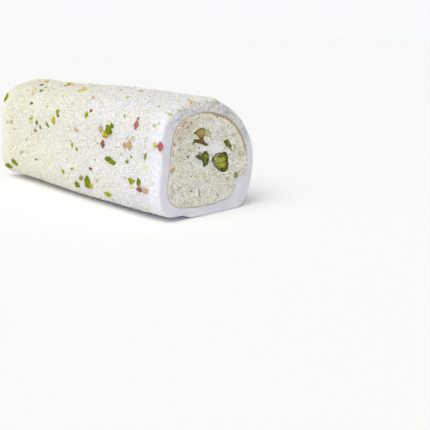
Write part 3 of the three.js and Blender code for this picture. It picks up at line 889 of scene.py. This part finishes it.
def grown(name, base, tree, values):
    """A new piece: the plain mesh that a tree makes on a base piece."""
    modifier = base.modifiers.new(name, "NODES")
    modifier.node_group = tree
    for item in tree.interface.items_tree:
        if item.in_out == "INPUT" and item.name in values:
            modifier[item.identifier] = values[item.name]
    bpy.context.view_layer.update()
    graph = bpy.context.evaluated_depsgraph_get()
    mesh = bpy.data.meshes.new_from_object(
        base.evaluated_get(graph), preserve_all_data_layers=True, depsgraph=graph)
    base.modifiers.remove(modifier)
    mesh.name = name
    return in_scene(name, mesh)


# ---- wrap ----

def wrap_skin():
    """The wrap as one closed skin: through its hole, over the front cut, outside, and over the far cut."""
    angle = even_angles(lambda a: outer_radius(a, LENGTH / 2), WRAP_COLUMNS)
    hole = filling_radius(angle) + SEAM_CLOSED
    over = reaching(angle, COATED_RIM_MIDDLE, COATED_RIM_REACH)
    rim = rim_at(angle)
    under = reaching(angle, sum(BARE_UNDERSIDE) / 2, BARE_UNDERSIDE_REACH)
    by_seam = reaching(angle, SEAM_MIDDLE, SEAM_REACH)

    def cut_rows(cut, inward):
        edge = outer_radius(angle, cut) - rim
        for share in np.linspace(0, 1, CUT_ROWS):
            radius = hole + (edge - hole) * share
            uneven = CUT_DEPTH * np.sin(3 * angle + cut) * np.sin(math.pi * share)
            coated = over * smoothstep(share, 0.05, 0.4) * (1 - under)
            yield radius, cut + inward * (uneven + CUT_DEPTH), coated, by_seam * (share == 0)
        for turn in np.linspace(0, math.pi / 2, RIM_ROWS)[1:]:
            along = cut + inward * (rim * (1 - math.cos(turn)) + CUT_DEPTH * (1 - math.sin(turn)))
            coated = np.maximum(over, 0.35 * smoothstep(turn, 0.9, 1.6)) * (1 - under)
            yield edge + rim * math.sin(turn), along, coated, 0

    def outer_rows():
        for share in np.linspace(0, 1, WRAP_ROWS + 2)[1:-1]:
            along = rim + (LENGTH - 2 * rim) * share
            from_cut = np.minimum(along, LENGTH - along)
            side = THIN_COAT + (1 - THIN_COAT) * smoothstep(from_cut, *BARE_RIM)
            yield outer_radius(angle, along), along, np.maximum(over, side) * (1 - under), 0

    rows = [(hole, along, 0, 0) for along in np.linspace(LENGTH, 0, HOLE_ROWS + 2)[1:-1]]
    rows += [*cut_rows(0, 1), *outer_rows(), *reversed(list(cut_rows(LENGTH, -1)))]
    radius, along, coated, rind = (
        np.array([np.broadcast_to(value, angle.shape) for value in column]) for column in zip(*rows)
    )
    x, z = around_middle(angle, radius)
    points = np.stack([x, along - LENGTH / 2, z], -1)
    faces = ring_faces(len(rows), WRAP_COLUMNS, closes=True)
    return piece_of("wrap_skin", points.reshape(-1, 3), faces, {
        "coated": coated.ravel(),
        "grained": coated.ravel(),
        "rind": rind.ravel(),
    })


# ---- filling ----

def crags(x, z):
    """The depth of a cut face's crags at these places, below 0 where they stand up."""
    ridge = np.sin(z / CRAG_HEIGHT * 2 + 1.3 * np.sin(x / CRAG_WIDTH + 0.7))
    lump = np.sin(x / CRAG_WIDTH * 2.3 + 1.9) * np.sin(z / CRAG_HEIGHT * 1.1 + 0.4)
    return CRAG * (0.6 * ridge + 0.4 * lump)


def smooth_loop(values, places, wanted):
    """Values at wanted places, all in turns, on a smooth curve through the given ones."""
    order = np.argsort(places)
    places, values = places[order], values[order]
    places = np.concatenate([places[-2:] - 1, places, places[:2] + 1])
    values = np.concatenate([values[-2:], values, values[:2]])
    after = np.searchsorted(places, wanted)
    share = (wanted - places[after - 1]) / (places[after] - places[after - 1])
    slope_in = (values[after] - values[after - 2]) / 2
    slope_out = (values[np.minimum(after + 1, len(values) - 1)] - values[after - 1]) / 2
    start, end = values[after - 1], values[after]
    curve = (2 * start - 2 * end + slope_in + slope_out) * share ** 3
    curve += (3 * end - 3 * start - 2 * slope_in - slope_out) * share ** 2
    return curve + slope_in * share + start


def kernel_look(node):
    return {**PLAIN_KERNEL, **KERNELS[node]}


def kernel_middle(node):
    """The place in its face that a kernel's outline is drawn about."""
    low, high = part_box(node)
    hub = kernel_look(node)["hub"]
    return np.array([(low.x + high.x) / 2 / MM + hub[0], (low.z + high.z) / 2 / MM + hub[1]])


def kernel_reach(node, angle):
    """How far a kernel's outline lies from its middle in these directions."""
    if "outline" in KERNELS[node]:
        outline = np.array(KERNELS[node]["outline"])
        corners = np.arctan2(outline[:, 1], outline[:, 0]) / (2 * math.pi) % 1
        return smooth_loop(np.hypot(*outline.T), corners, angle / (2 * math.pi) % 1)
    width, height = OVAL_SIZES[node]
    turned = angle - math.radians(KERNELS[node]["turn"])
    reach = 1 / np.hypot(np.cos(turned) * 2 / width, np.sin(turned) * 2 / height)
    return reach * (1 + 0.035 * np.sin(3 * angle + width) + 0.02 * np.sin(5 * angle + height))


def in_pocket(x, z, side):
    """1 where a kernel lies in the face and 0 elsewhere."""
    inside = np.zeros_like(x)
    for node, look in KERNELS.items():
        if look["side"] == side:
            middle = kernel_middle(node)
            across, up = x - middle[0], z - middle[1]
            beyond = np.hypot(across, up) - kernel_reach(node, np.arctan2(up, across))
            inside = np.maximum(inside, 1 - smoothstep(beyond, -0.2, 0.15))
    return inside


def torn_hollow(x, z, side):
    """1 in the hollow of the front face that a torn-out kernel has left and 0 elsewhere."""
    if side != FRONT:
        return np.zeros_like(x)
    return smoothstep(inside_by(x - TORN_MIDDLE[0], z - TORN_MIDDLE[1], TORN_SKIN_OUTLINE), -0.5, 0.3)


def smeared_at(x, z, side):
    """1 in the middle of the front face's smears and 0 outside them, with a soft change."""
    smeared = np.zeros_like(x)
    for middle_x, middle_z, half_width, half_height in SMEARS if side == FRONT else []:
        away = np.hypot((x - middle_x) / half_width, (z - middle_z) / half_height)
        smeared = np.maximum(smeared, 1 - smoothstep(away, 0.6, 1.15))
    return smeared


def filling_body():
    """The filling as one closed skin: both cut faces and the sides between, with their numbers."""
    angle = even_angles(filling_radius, FILLING_COLUMNS)
    edge = filling_radius(angle)
    by_seam = reaching(angle, SEAM_MIDDLE, SEAM_REACH)
    shares = 1 - np.linspace(1, 0, FACE_ROWS + 1)[1:] ** FACE_CROWDING
    labels = ("coated", "grained", "blush", "hollow", "rind", "band", "smear")
    rows, numbers = [], {label: [] for label in labels}

    def add_face(side):
        for share in shares if side == FRONT else shares[::-1]:
            x, z = around_middle(angle, edge * share)
            from_edge = edge * (1 - share)
            rounding = EDGE_ROUNDING[1] * (1 - smoothstep(from_edge, 0, EDGE_ROUNDING[0]))
            pocket = in_pocket(x, z, side)
            hollow, smeared = torn_hollow(x, z, side), smeared_at(x, z, side)
            depth = crags(x, z) * (1 - share ** 6) + rounding * (1 - 0.8 * by_seam)
            depth += POCKET * pocket + 1.5 * TORN_DEPTH * hollow
            rows.append(np.stack([x, side * (LENGTH / 2 - depth), z], -1))

            rough = (1 - pocket) * (1 - hollow) * smoothstep(from_edge, 0, 0.5) * (1 - 0.4 * smeared)
            from_blush = (x - BLUSH_PLACE[0]) ** 2 + (z - BLUSH_PLACE[1]) ** 2
            by_left_edge = np.exp(-from_edge / 1.6) * (x < 0)
            widened = 1 + SEAM_GROWS * np.maximum(np.cos(angle), 0)
            seam = by_seam * (1 - smoothstep(from_edge / widened, *SEAM_EDGES))
            edge_line = np.exp(-((from_edge / EDGE_LINE_WIDTH) ** 2))
            edge_line = edge_line * reaching(angle, EDGE_LINE_MIDDLE, EDGE_LINE_REACH)
            numbers["coated"].append(rough)
            numbers["grained"].append(rough)
            numbers["blush"].append(0.6 * np.exp(-from_blush / BLUSH_SPREAD) + 0.4 * by_left_edge)
            # The hollow number carries painted shade in the torn hollow and round the kernels.
            numbers["hollow"].append(np.maximum(pocket, 0.8 * hollow))
            numbers["rind"].append(np.clip(seam + 0.4 * edge_line, 0, 1))
            numbers["band"].append(0.8 * by_seam * np.exp(-(((from_edge - SEAM_BAND) / 0.6) ** 2)))
            numbers["smear"].append(smeared)

    def add_sides():
        for share in np.linspace(0, 1, SIDE_ROWS + 2)[1:-1]:
            x, z = around_middle(angle, edge)
            along = (share - 0.5) * (LENGTH - 2 * SIDE_FROM_CUT)
            rows.append(np.stack([x, np.full_like(x, along), z], -1))
            for label in numbers:
                numbers[label].append(np.full_like(x, 1.0 if label == "rind" else 0.0))

    add_face(FRONT)
    add_sides()
    add_face(BACK)
    return capped("filling_body", np.array(rows), {label: np.array(n) for label, n in numbers.items()})


# ---- kernels ----

def cut_kernel(node):
    """A kernel cut across: a slightly domed face with a groove between its halves, and its body."""
    look = kernel_look(node)
    middle = kernel_middle(node)
    angle = np.linspace(0, 2 * math.pi, KERNEL_COLUMNS, endpoint=False)
    reach = kernel_reach(node, angle) * (1 + 0.02 * np.sin(11 * angle) + 0.018 * np.sin(17 * angle + 2))
    skin_middle, skin_width = look["skin"]
    skin_side = reaching(angle, skin_middle, (skin_width, skin_width + 25))
    chalk_side = look["chalk"] * reaching(angle, skin_middle, (35, 65))
    thick_middle, thick_width = look["thick"]
    thick = reaching(angle, thick_middle, (thick_width, thick_width + 30))
    height, slope, bend = look["groove"]
    same_all_over = {label: look[label] for label in ("gold", "dark", "tone")}
    rows, numbers = [], {label: [] for label in ("rim", "split", "skin", "chalk", *same_all_over)}

    def add_row(share, depth, rim, split, skin, chalk):
        x = middle[0] + reach * share * np.cos(angle)
        z = middle[1] + reach * share * np.sin(angle)
        y = look["side"] * (LENGTH / 2 - depth)
        rows.append(np.stack(np.broadcast_arrays(x, y, z), -1))
        values = {"rim": rim, "split": split, "skin": skin, "chalk": chalk}
        for label, value in {**values, **same_all_over}.items():
            numbers[label].append(np.broadcast_to(value, angle.shape))

    for share in np.linspace(0.04, 1, KERNEL_ROWS):
        across, up = reach * share * np.cos(angle), reach * share * np.sin(angle)
        line = (up - height - slope * across - bend * across ** 2) / math.hypot(1, slope)
        groove = np.exp(-((line / 0.2) ** 2)) * (1 - smoothstep(share, 0.85, 1))
        dents = 0.75 * groove
        for x, z, size in look["spots"]:
            away = np.hypot(across - x, 1.8 * (up - z)) / size
            dents = np.maximum(dents, np.exp(-(away ** 4)))
        rounding = 0.4 * smoothstep(share, 0.8, 1.0) ** 2
        relief = 0.08 * np.sin(across * 2.9 + slope) * np.sin(up * 2.3 + 1)
        depth = -KERNEL_PROUD + rounding + 0.25 * dents + relief
        rim = share + 0.3 * thick * smoothstep(share, 0.35, 0.8)
        skin = skin_side * smoothstep(share, look["skin_from"], look["skin_from"] + 0.08)
        add_row(share, depth, rim, dents, skin, chalk_side * smoothstep(share, 0.45, 0.7))
    for depth_share in KERNEL_BODY_DEPTHS:
        share = math.sqrt(1 - depth_share ** 2) * 1.01
        add_row(share, KERNEL_DEPTH * depth_share + 0.15, 1, 0, skin_side, 0)
    numbers = {label: np.array(values) for label, values in numbers.items()}
    return capped("cut_" + node, np.array(rows), numbers)


def torn_skin():
    """A ragged flake of kernel skin: the cells of a fine sheet that lie inside its outline."""
    low, high = TORN_SKIN_OUTLINE.min(0), TORN_SKIN_OUTLINE.max(0)
    across = np.arange(low[0], high[0] + TORN_STEP, TORN_STEP)
    up = np.arange(low[1], high[1] + TORN_STEP, TORN_STEP)
    x, z = (grid.ravel() for grid in np.meshgrid(across, up))
    ragged = 0.26 * np.sin(x * 9.1 + 2 * np.sin(z * 5.3)) * np.sin(z * 7.7 + 1.5 * np.sin(x * 4.1))
    from_edge = inside_by(x, z, TORN_SKIN_OUTLINE) + TORN_GROWN
    inside = from_edge + ragged > 0
    fibres = 0.12 * np.sin(x * 6 + 0.8 * np.sin(z * 1.7)) + 0.08 * np.sin(x * 13.1 + z)
    depth = TORN_DEPTH - 0.25 * (x / 4) - 0.3 * np.exp(-((z - 0.2) / 1.2) ** 2) + fibres
    front = np.stack([x + TORN_MIDDLE[0], FRONT * (LENGTH / 2 - depth), z + TORN_MIDDLE[1]], -1)
    columns = len(across)
    faces = [
        (i, i + 1, i + columns + 1, i + columns)
        for i in range(len(x) - columns - 1)
        if (i + 1) % columns and inside[[i, i + 1, i + columns, i + columns + 1]].all()
    ]
    upper = smoothstep(z, -0.9, 0.1)
    pale = smoothstep(x, 0.2, 3.6) * upper
    left_tip = smoothstep(-x, 1.6, 3.4)
    # Painted shade along the skin's edge, mixed into the deeper brown of the lower part and left tip.
    by_edge = 1 - smoothstep(from_edge, 0.2, 1.0)
    deep = np.maximum.reduce([by_edge, 1 - upper, left_tip]) * (1 - 0.8 * pale)
    ruddy = smoothstep(x, -0.6, 3.0) * (1 - upper)
    piece = piece_of("torn_skin", front, faces, {"pale": pale, "deep": deep, "ruddy": ruddy})
    shape = bmesh.new()
    shape.from_mesh(piece.data)
    loose = [vertex for vertex in shape.verts if not vertex.link_faces]
    bmesh.ops.delete(shape, geom=loose, context="VERTS")
    bmesh.ops.recalc_face_normals(shape, faces=shape.faces)
    if shape.faces[0].normal.y > 0:
        bmesh.ops.reverse_faces(shape, faces=shape.faces)
    bmesh.ops.solidify(shape, geom=shape.faces, thickness=TORN_THICKNESS * MM)
    bmesh.ops.recalc_face_normals(shape, faces=shape.faces)
    shape.to_mesh(piece.data)
    shape.free()
    return piece


# ---- chips and crumbs ----

def chunk(draw, cuts, detail, corners=0):
    """A lump two units long, wide and thick: a ball pulled in to a few planes, as a knife leaves it.

    A flake has corners round its outline, the first of them ahead, instead of planes all round it.
    """
    shape = bmesh.new()
    bmesh.ops.create_icosphere(shape, subdivisions=detail, radius=1)
    planes = []
    for _ in range(0 if corners else cuts):
        direction = Vector((next(draw) - 0.5, next(draw) - 0.5, 0.7 * (next(draw) - 0.5))).normalized()
        planes.append((direction, 0.6 + 0.3 * next(draw)))
    first, second, bend = 6 * next(draw), 6 * next(draw), 0.5 * (next(draw) - 0.5)
    for vertex in shape.verts:
        facing = vertex.co.normalized()
        reach = min([1.0] + [h / facing.dot(n) for n, h in planes if facing.dot(n) > 0.05])
        knobs = math.sin(4.1 * facing.x + first) * math.sin(4.1 * facing.y + second)
        nicks = math.sin(9.3 * facing.x + second) * math.sin(8.7 * facing.y + first)
        vertex.co = facing * reach * (1 + 0.2 * knobs + 0.08 * nicks)
        if corners:
            share = 2 * math.pi / corners
            turn = math.atan2(facing.y, facing.x) % share - share / 2
            vertex.co *= 0.35 + 0.65 * math.cos(share / 2) / math.cos(turn)
            vertex.co.z += bend * facing.x ** 2
    if detail > 2 and not corners:
        axes = {"use_axis_x": True, "use_axis_y": True, "use_axis_z": True}
        bmesh.ops.smooth_vert(shape, verts=shape.verts, factor=0.4, **axes)
    points = np.array([tuple(v.co) for v in shape.verts])
    faces = [[v.index for v in face.verts] for face in shape.faces]
    shape.free()
    low, high = points.min(0), points.max(0)
    return (points - (low + high) / 2) / (high - low).clip(0.1) * 2, faces


def on_coating(angle, along):
    """A point of the coating in millimetres, and the directions along, around and outward there."""
    def skin(turn, place):
        rim = rim_at(turn)
        over = np.clip(1 - min(place, LENGTH - place) / rim, 0, 1)
        radius = outer_radius(turn, place) - rim * (1 - math.sqrt(1 - over ** 2))
        x, z = around_middle(turn, radius)
        return Vector((x, place - LENGTH / 2, z))

    here = skin(angle, along)
    around = (skin(angle + 0.02, along) - here).normalized()
    lengthwise = (skin(angle, along + 0.1) - skin(angle, along - 0.1)).normalized()
    outward = lengthwise.cross(around).normalized()
    return here, lengthwise, outward.cross(lengthwise), outward


def laid(points, size, turn, place, lengthwise, around, outward):
    """A lump's points scaled, turned about the outward direction and moved into place."""
    frame_there = Matrix((lengthwise, around, outward)).transposed()
    move = frame_there @ Matrix.Rotation(math.radians(turn), 3, "Z") @ Matrix.Diagonal(Vector(size) / 2)
    return points @ np.array(move).T + np.array(place)


def spiral_chips():
    """The chips of the sides that don't show, as the table gives those of the side that does."""
    draw = draws_from(SEED)
    for i in range(SPIRAL_CHIPS):
        angle = math.degrees(i * GOLDEN_TURN + 0.5 * (next(draw) - 0.5)) % 360
        along = between((CHIP_EDGE_ROOM, LENGTH - CHIP_EDGE_ROOM), (i + next(draw)) / SPIRAL_CHIPS)
        length = between(CHIP_LENGTH, next(draw) ** 1.8)
        width = length * between(CHIP_WIDTH_SHARE, next(draw))
        turn = 180 * next(draw)
        kinds = SPIRAL_PETALS if next(draw) < PETAL_SHARE else SPIRAL_KINDS
        if not any(low < angle < high for low, high in (SEEN_SIDE, BARE_UNDERSIDE)):
            yield angle, along, length, width, turn, kinds[i % len(kinds)]


def by_kind(table):
    """A table's rows, each with its kind after it."""
    return [(*place, kind) for kind, places in table.items() for place in places]


def chip_lumps():
    """The chips by family, each as (points, faces, tone)."""
    families = {family: [] for family in CHIP_PIECES}
    draw = draws_from(SEED + 5)
    for angle, along, length, width, turn, kind in [*by_kind(SEEN_CHIPS), *spiral_chips()]:
        family, tone = KINDS[kind]
        flat = family != "pistachio"
        thickness = PETAL_THICKNESS if flat else min(width * CHIP_THICKNESS_SHARE, CHIP_THICKEST)
        place, lengthwise, around, outward = on_coating(math.radians(angle), along)
        corners = 4 + len(families[family]) % 3 if flat else 0
        points, faces = chunk(draw, CHIP_PLANES, 4 if length > LARGE_CHIP else 3, corners)
        place = place + outward * (PETAL_RAISED if flat else CHIP_RAISED * thickness)
        size = (length * CHIP_GROWN, width * CHIP_GROWN, thickness)
        lump = laid(points, size, turn, place, lengthwise, around, outward)
        lump[:, 2] = lump[:, 2].clip(CHIP_OVER_GROUND)
        families[family].append((lump, faces, tone))
    for x, z, length, width, turn, kind in by_kind(FACE_BITS):
        family, tone = KINDS[kind]
        points, faces = chunk(draw, FACE_BIT_PLANES, 3)
        depth = float(crags(np.array(x), np.array(z))) - FACE_BIT_PROUD
        place = Vector((x, FRONT * (LENGTH / 2 - depth), z))
        size = (length, width, 0.5 * width)
        axes = Vector((1, 0, 0)), Vector((0, 0, 1)), Vector((0, -1, 0))
        families[family].append((laid(points, size, turn, place, *axes), faces, tone))
    return families


def lump_collection(name, make, count):
    """Loose lumps about a unit long for a tree to pick from."""
    collection = bpy.data.collections.new(name)
    bpy.context.scene.collection.children.link(collection)
    draw = draws_from(SEED + len(name))
    for i in range(count):
        points, faces = make(draw)
        mesh = bpy.data.meshes.new(f"{name}_{i}")
        mesh.from_pydata(points, [], faces)
        collection.objects.link(bpy.data.objects.new(mesh.name, mesh))
    return collection


def clear(collection):
    for lump in list(collection.objects):
        bpy.data.objects.remove(lump)
    bpy.data.collections.remove(collection)


BOX_FACES = [(0, 1, 3, 2), (4, 6, 7, 5), (0, 4, 5, 1), (2, 3, 7, 6), (0, 2, 6, 4), (1, 5, 7, 3)]


def granule(draw):
    """A grain with eight uneven corners, about a unit long, lying on its side."""
    size = (0.5, 0.33, 0.24)
    signs = [(x, y, z) for x in (-1, 1) for y in (-1, 1) for z in (-1, 1)]
    points = [[s * half * (0.65 + 0.5 * next(draw)) for s, half in zip(corner, size)] for corner in signs]
    return np.array(points) + (0, 0, 0.08), BOX_FACES


def powder(draw):
    """A speck with six uneven corners, about a unit wide."""
    corners = [(1, 0, 0), (0, 1, 0), (-1, 0, 0), (0, -1, 0), (0, 0, 1), (0, 0, -1)]
    points = np.array([[0.5 * c * (0.6 + 0.6 * next(draw)) for c in corner] for corner in corners])
    faces = [(i, (i + 1) % 4, 4) for i in range(4)] + [((i + 1) % 4, i, 5) for i in range(4)]
    return points, faces


def shred(draw):
    """A short curved strip of grated coconut, a unit long."""
    bend, lift = 0.25 * (next(draw) - 0.5), 0.12 * next(draw)
    points, faces = [], []
    for i, along in enumerate((-0.5, 0.0, 0.5)):
        half_width, half_height = 0.1 + 0.04 * next(draw), 0.045 + 0.03 * next(draw)
        side, up = bend * (1 - 4 * along ** 2), lift * (4 * along ** 2) + 0.03
        points += [(along, side + sy * half_width, up + sz * half_height)
                   for sy, sz in ((-1, -1), (1, -1), (1, 1), (-1, 1))]
        if i:
            base = 4 * (i - 1)
            faces += [(base + k, base + (k + 1) % 4, base + 4 + (k + 1) % 4, base + 4 + k) for k in range(4)]
    return np.array(points), faces + [(3, 2, 1, 0), (8, 9, 10, 11)]


def crumb(draw):
    """A small angular crumb of nut, a unit long."""
    points, faces = chunk(draw, 5, 2)
    return points * (0.5, 0.34, 0.24) + (0, 0, 0.05), faces


def speck(draw):
    """A crumb with fewer faces, a unit long."""
    points, faces = chunk(draw, 4, 1)
    return points * (0.5, 0.33, 0.2), faces


# The record's material slot of each family of pieces, and the names of the pieces of larger chips.
SLOTS = {
    "coconut": "coconut", "nougat": "filling", "pistachio": "pistachio_green", "petal": "rose_petal",
    "flake": "kernel_skin",
}
CHIP_PIECES = {"pistachio": "chopped_pistachio", "petal": "rose_petals", "flake": "skin_flakes"}

# What is scattered: its lumps, how many of them to pick from, number per square millimetre, shortest
# and longest, tilt in radians, lowest and highest tone, and seed.
COAT_SCATTER = {
    "coconut_granules": (granule, 12, 1.12, 0.35, 0.98, 0.45, 0, 1, 11),
    "coconut_shreds": (shred, 12, 0.45, 0.7, 1.7, 0.3, 0, 1, 12),
    "coconut_powder": (powder, 8, 1.68, 0.2, 0.45, 0.8, 0, 1, 13),
    "pistachio_crumbs": (crumb, 10, 0.004, 0.6, 1.6, 0.3, 0.4, 0.7, 14),
    "pistachio_specks": (speck, 10, 0.04, 0.4, 1.4, 0.3, 0.66, 0.8, 15),
    "pistachio_dust": (speck, 10, 0.03, 0.3, 0.9, 0.4, 0.0, 0.12, 17),
    "petal_specks": (speck, 8, 0.004, 0.3, 0.9, 0.3, 0.7, 1, 16),
}
FACE_SCATTER = {
    "nougat_crumbs": (granule, 12, 1.8, 0.35, 1.3, 0.6, 0, 1, 21),
    "face_pistachio_specks": (speck, 8, 0.12, 0.3, 0.9, 0.5, 0.0, 0.16, 22),
    "face_petal_specks": (speck, 8, 0.01, 0.25, 0.7, 0.5, 0.8, 1, 23),
}


def scatter(base, recipes, finishes):
    """Makes the pieces that lie scattered over a base piece."""
    tree = scattered_tree()
    for name, (make, count, density, smallest, largest, tilt, least, most, seed) in recipes.items():
        lumps = lump_collection(name + "_lumps", make, count)
        piece = grown(name, base, tree, {
            "Lumps": lumps, "Per Square Metre": density / MM ** 2, "Smallest": smallest * MM,
            "Largest": largest * MM, "Tilt": tilt, "Least Tone": float(least), "Most Tone": float(most),
            "Seed": seed, "Finish": finishes[family_of(name)],
        })
        clear(lumps)
        finished(piece, None, SLOTS[family_of(name)])


# ---- stage ----

IMAGE_SIDE = 430  # pixels
FOCAL_LENGTH = 715.05  # pixels
SENSOR = 36.0
CAMERA_PLACE = (-0.18839, -0.25631, 0.07167)
CAMERA_TURN, CAMERA_DROP, CAMERA_ROLL = (math.radians(a) for a in (44.243, 14.761, 0.6385))
KEY_FROM = (-0.55, -0.15, 0.8)
KEY_STRENGTH = 0.63
HORIZON_STRENGTH = 0.97
SKY_STRENGTH = 0.46


def add_camera():
    camera = in_scene("camera", bpy.data.cameras.new("camera"))
    camera.data.sensor_width = SENSOR
    camera.data.lens = SENSOR * FOCAL_LENGTH / IMAGE_SIDE
    camera.data.clip_start, camera.data.clip_end = 0.01, 20
    turned = Matrix.Rotation(-CAMERA_TURN, 4, "Z") @ Matrix.Rotation(math.pi / 2 - CAMERA_DROP, 4, "X")
    turned = turned @ Matrix.Rotation(CAMERA_ROLL, 4, "Z")
    camera.matrix_world = Matrix.Translation(CAMERA_PLACE) @ turned
    bpy.context.scene.camera = camera


def add_key_light():
    """A broad soft light from high on the left."""
    light = bpy.data.lights.new("key", "SUN")
    light.angle, light.energy, light.color = math.radians(50), KEY_STRENGTH * math.pi, (1.0, 0.99, 0.965)
    in_scene("key", light).rotation_euler = Vector(KEY_FROM).to_track_quat("Z", "Y").to_euler()


def add_floor():
    finish = Finish("floor", specular=0.1, roughness=0.9)
    cloud = finish.mix(finish.noise(300, 1), (252, 252, 252), (254, 254, 254))
    shape = bmesh.new()
    bmesh.ops.create_circle(shape, cap_ends=True, segments=96, radius=6)
    mesh = bpy.data.meshes.new("floor")
    shape.to_mesh(mesh)
    shape.free()
    mesh.materials.append(finish.done(base_color=cloud))
    floor = in_scene("floor", mesh)


def add_world():
    """A pale sky, white along the horizon and dimmer above it."""
    world = bpy.data.worlds.new("studio")
    world.use_nodes = True
    sky = Graph(world.node_tree)
    direction = sky.add("ShaderNodeTexCoord", output="Generated")
    height = sky.add("ShaderNodeSeparateXYZ", None, {"Vector": direction}, "Z")
    strength = sky.add("ShaderNodeMapRange", {"interpolation_type": "SMOOTHSTEP"}, {
        "Value": height, "From Min": 0.03, "From Max": 0.3,
        "To Min": HORIZON_STRENGTH, "To Max": SKY_STRENGTH,
    })
    light = sky.add("ShaderNodeBackground", None, {"Color": (0.97, 0.985, 1.0, 1.0), "Strength": strength})
    sky.add("ShaderNodeOutputWorld", None, {"Surface": light})
    bpy.context.scene.world = world


def set_stage():
    bpy.context.scene.view_settings.view_transform = "Standard"
    add_world()
    add_floor()
    add_key_light()
    add_camera()


# ---- the roll ----

def finished(piece, material, slot):
    """Puts a piece on the roll; one that a tree has made has its material already."""
    if material:
        piece.data.materials.append(material)
    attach(piece, "root")
    return piece


def family_of(name):
    """What a scattered piece is made of, which its name says."""
    return next(family for family in SLOTS if family in name)


def build_roll():
    grained = grained_tree()
    finishes = {
        "coconut": coconut_finish(), "nougat": nougat_finish(), "pistachio": pistachio_finish(),
        "petal": petal_finish(), "flake": flake_finish(),
    }

    skin = wrap_skin()
    wrap = grown("coated_wrap", skin, grained, {
        "Lump Size": 4.5 * MM, "Lump Height": 0.14 * MM, "Grain Size": 0.9 * MM, "Grain Height": 0.14 * MM,
        "Seed": 3.0, "Finish": wrap_finish(),
    })
    finished(wrap, None, "wrap")
    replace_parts(wrap, "wrap")
    scatter(wrap, COAT_SCATTER, finishes)
    bpy.data.objects.remove(skin)

    body = filling_body()
    filling = grown("nougat_filling", body, grained, {
        "Lump Size": 2.0 * MM, "Lump Height": 0.45 * MM, "Grain Size": 0.8 * MM, "Grain Height": 0.5 * MM,
        "Seed": 5.0, "Finish": finishes["nougat"],
    })
    finished(filling, None, "filling")
    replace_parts(filling, "filling")
    scatter(filling, FACE_SCATTER, finishes)
    bpy.data.objects.remove(body)

    kernel = kernel_finish()
    for node, look in KERNELS.items():
        material = finishes["pistachio"] if "tone" in look else kernel
        slot = "pistachio_golden" if kernel_look(node)["gold"] > 0.5 else "pistachio_green"
        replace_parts(finished(cut_kernel(node), material, slot), node)
    flake = finished(torn_skin(), torn_skin_finish(), "kernel_skin")
    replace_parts(flake, "kernel_skin_front")

    for family, lumps in chip_lumps().items():
        finished(joined(CHIP_PIECES[family], lumps), finishes[family], SLOTS[family])


set_stage()
build_roll()
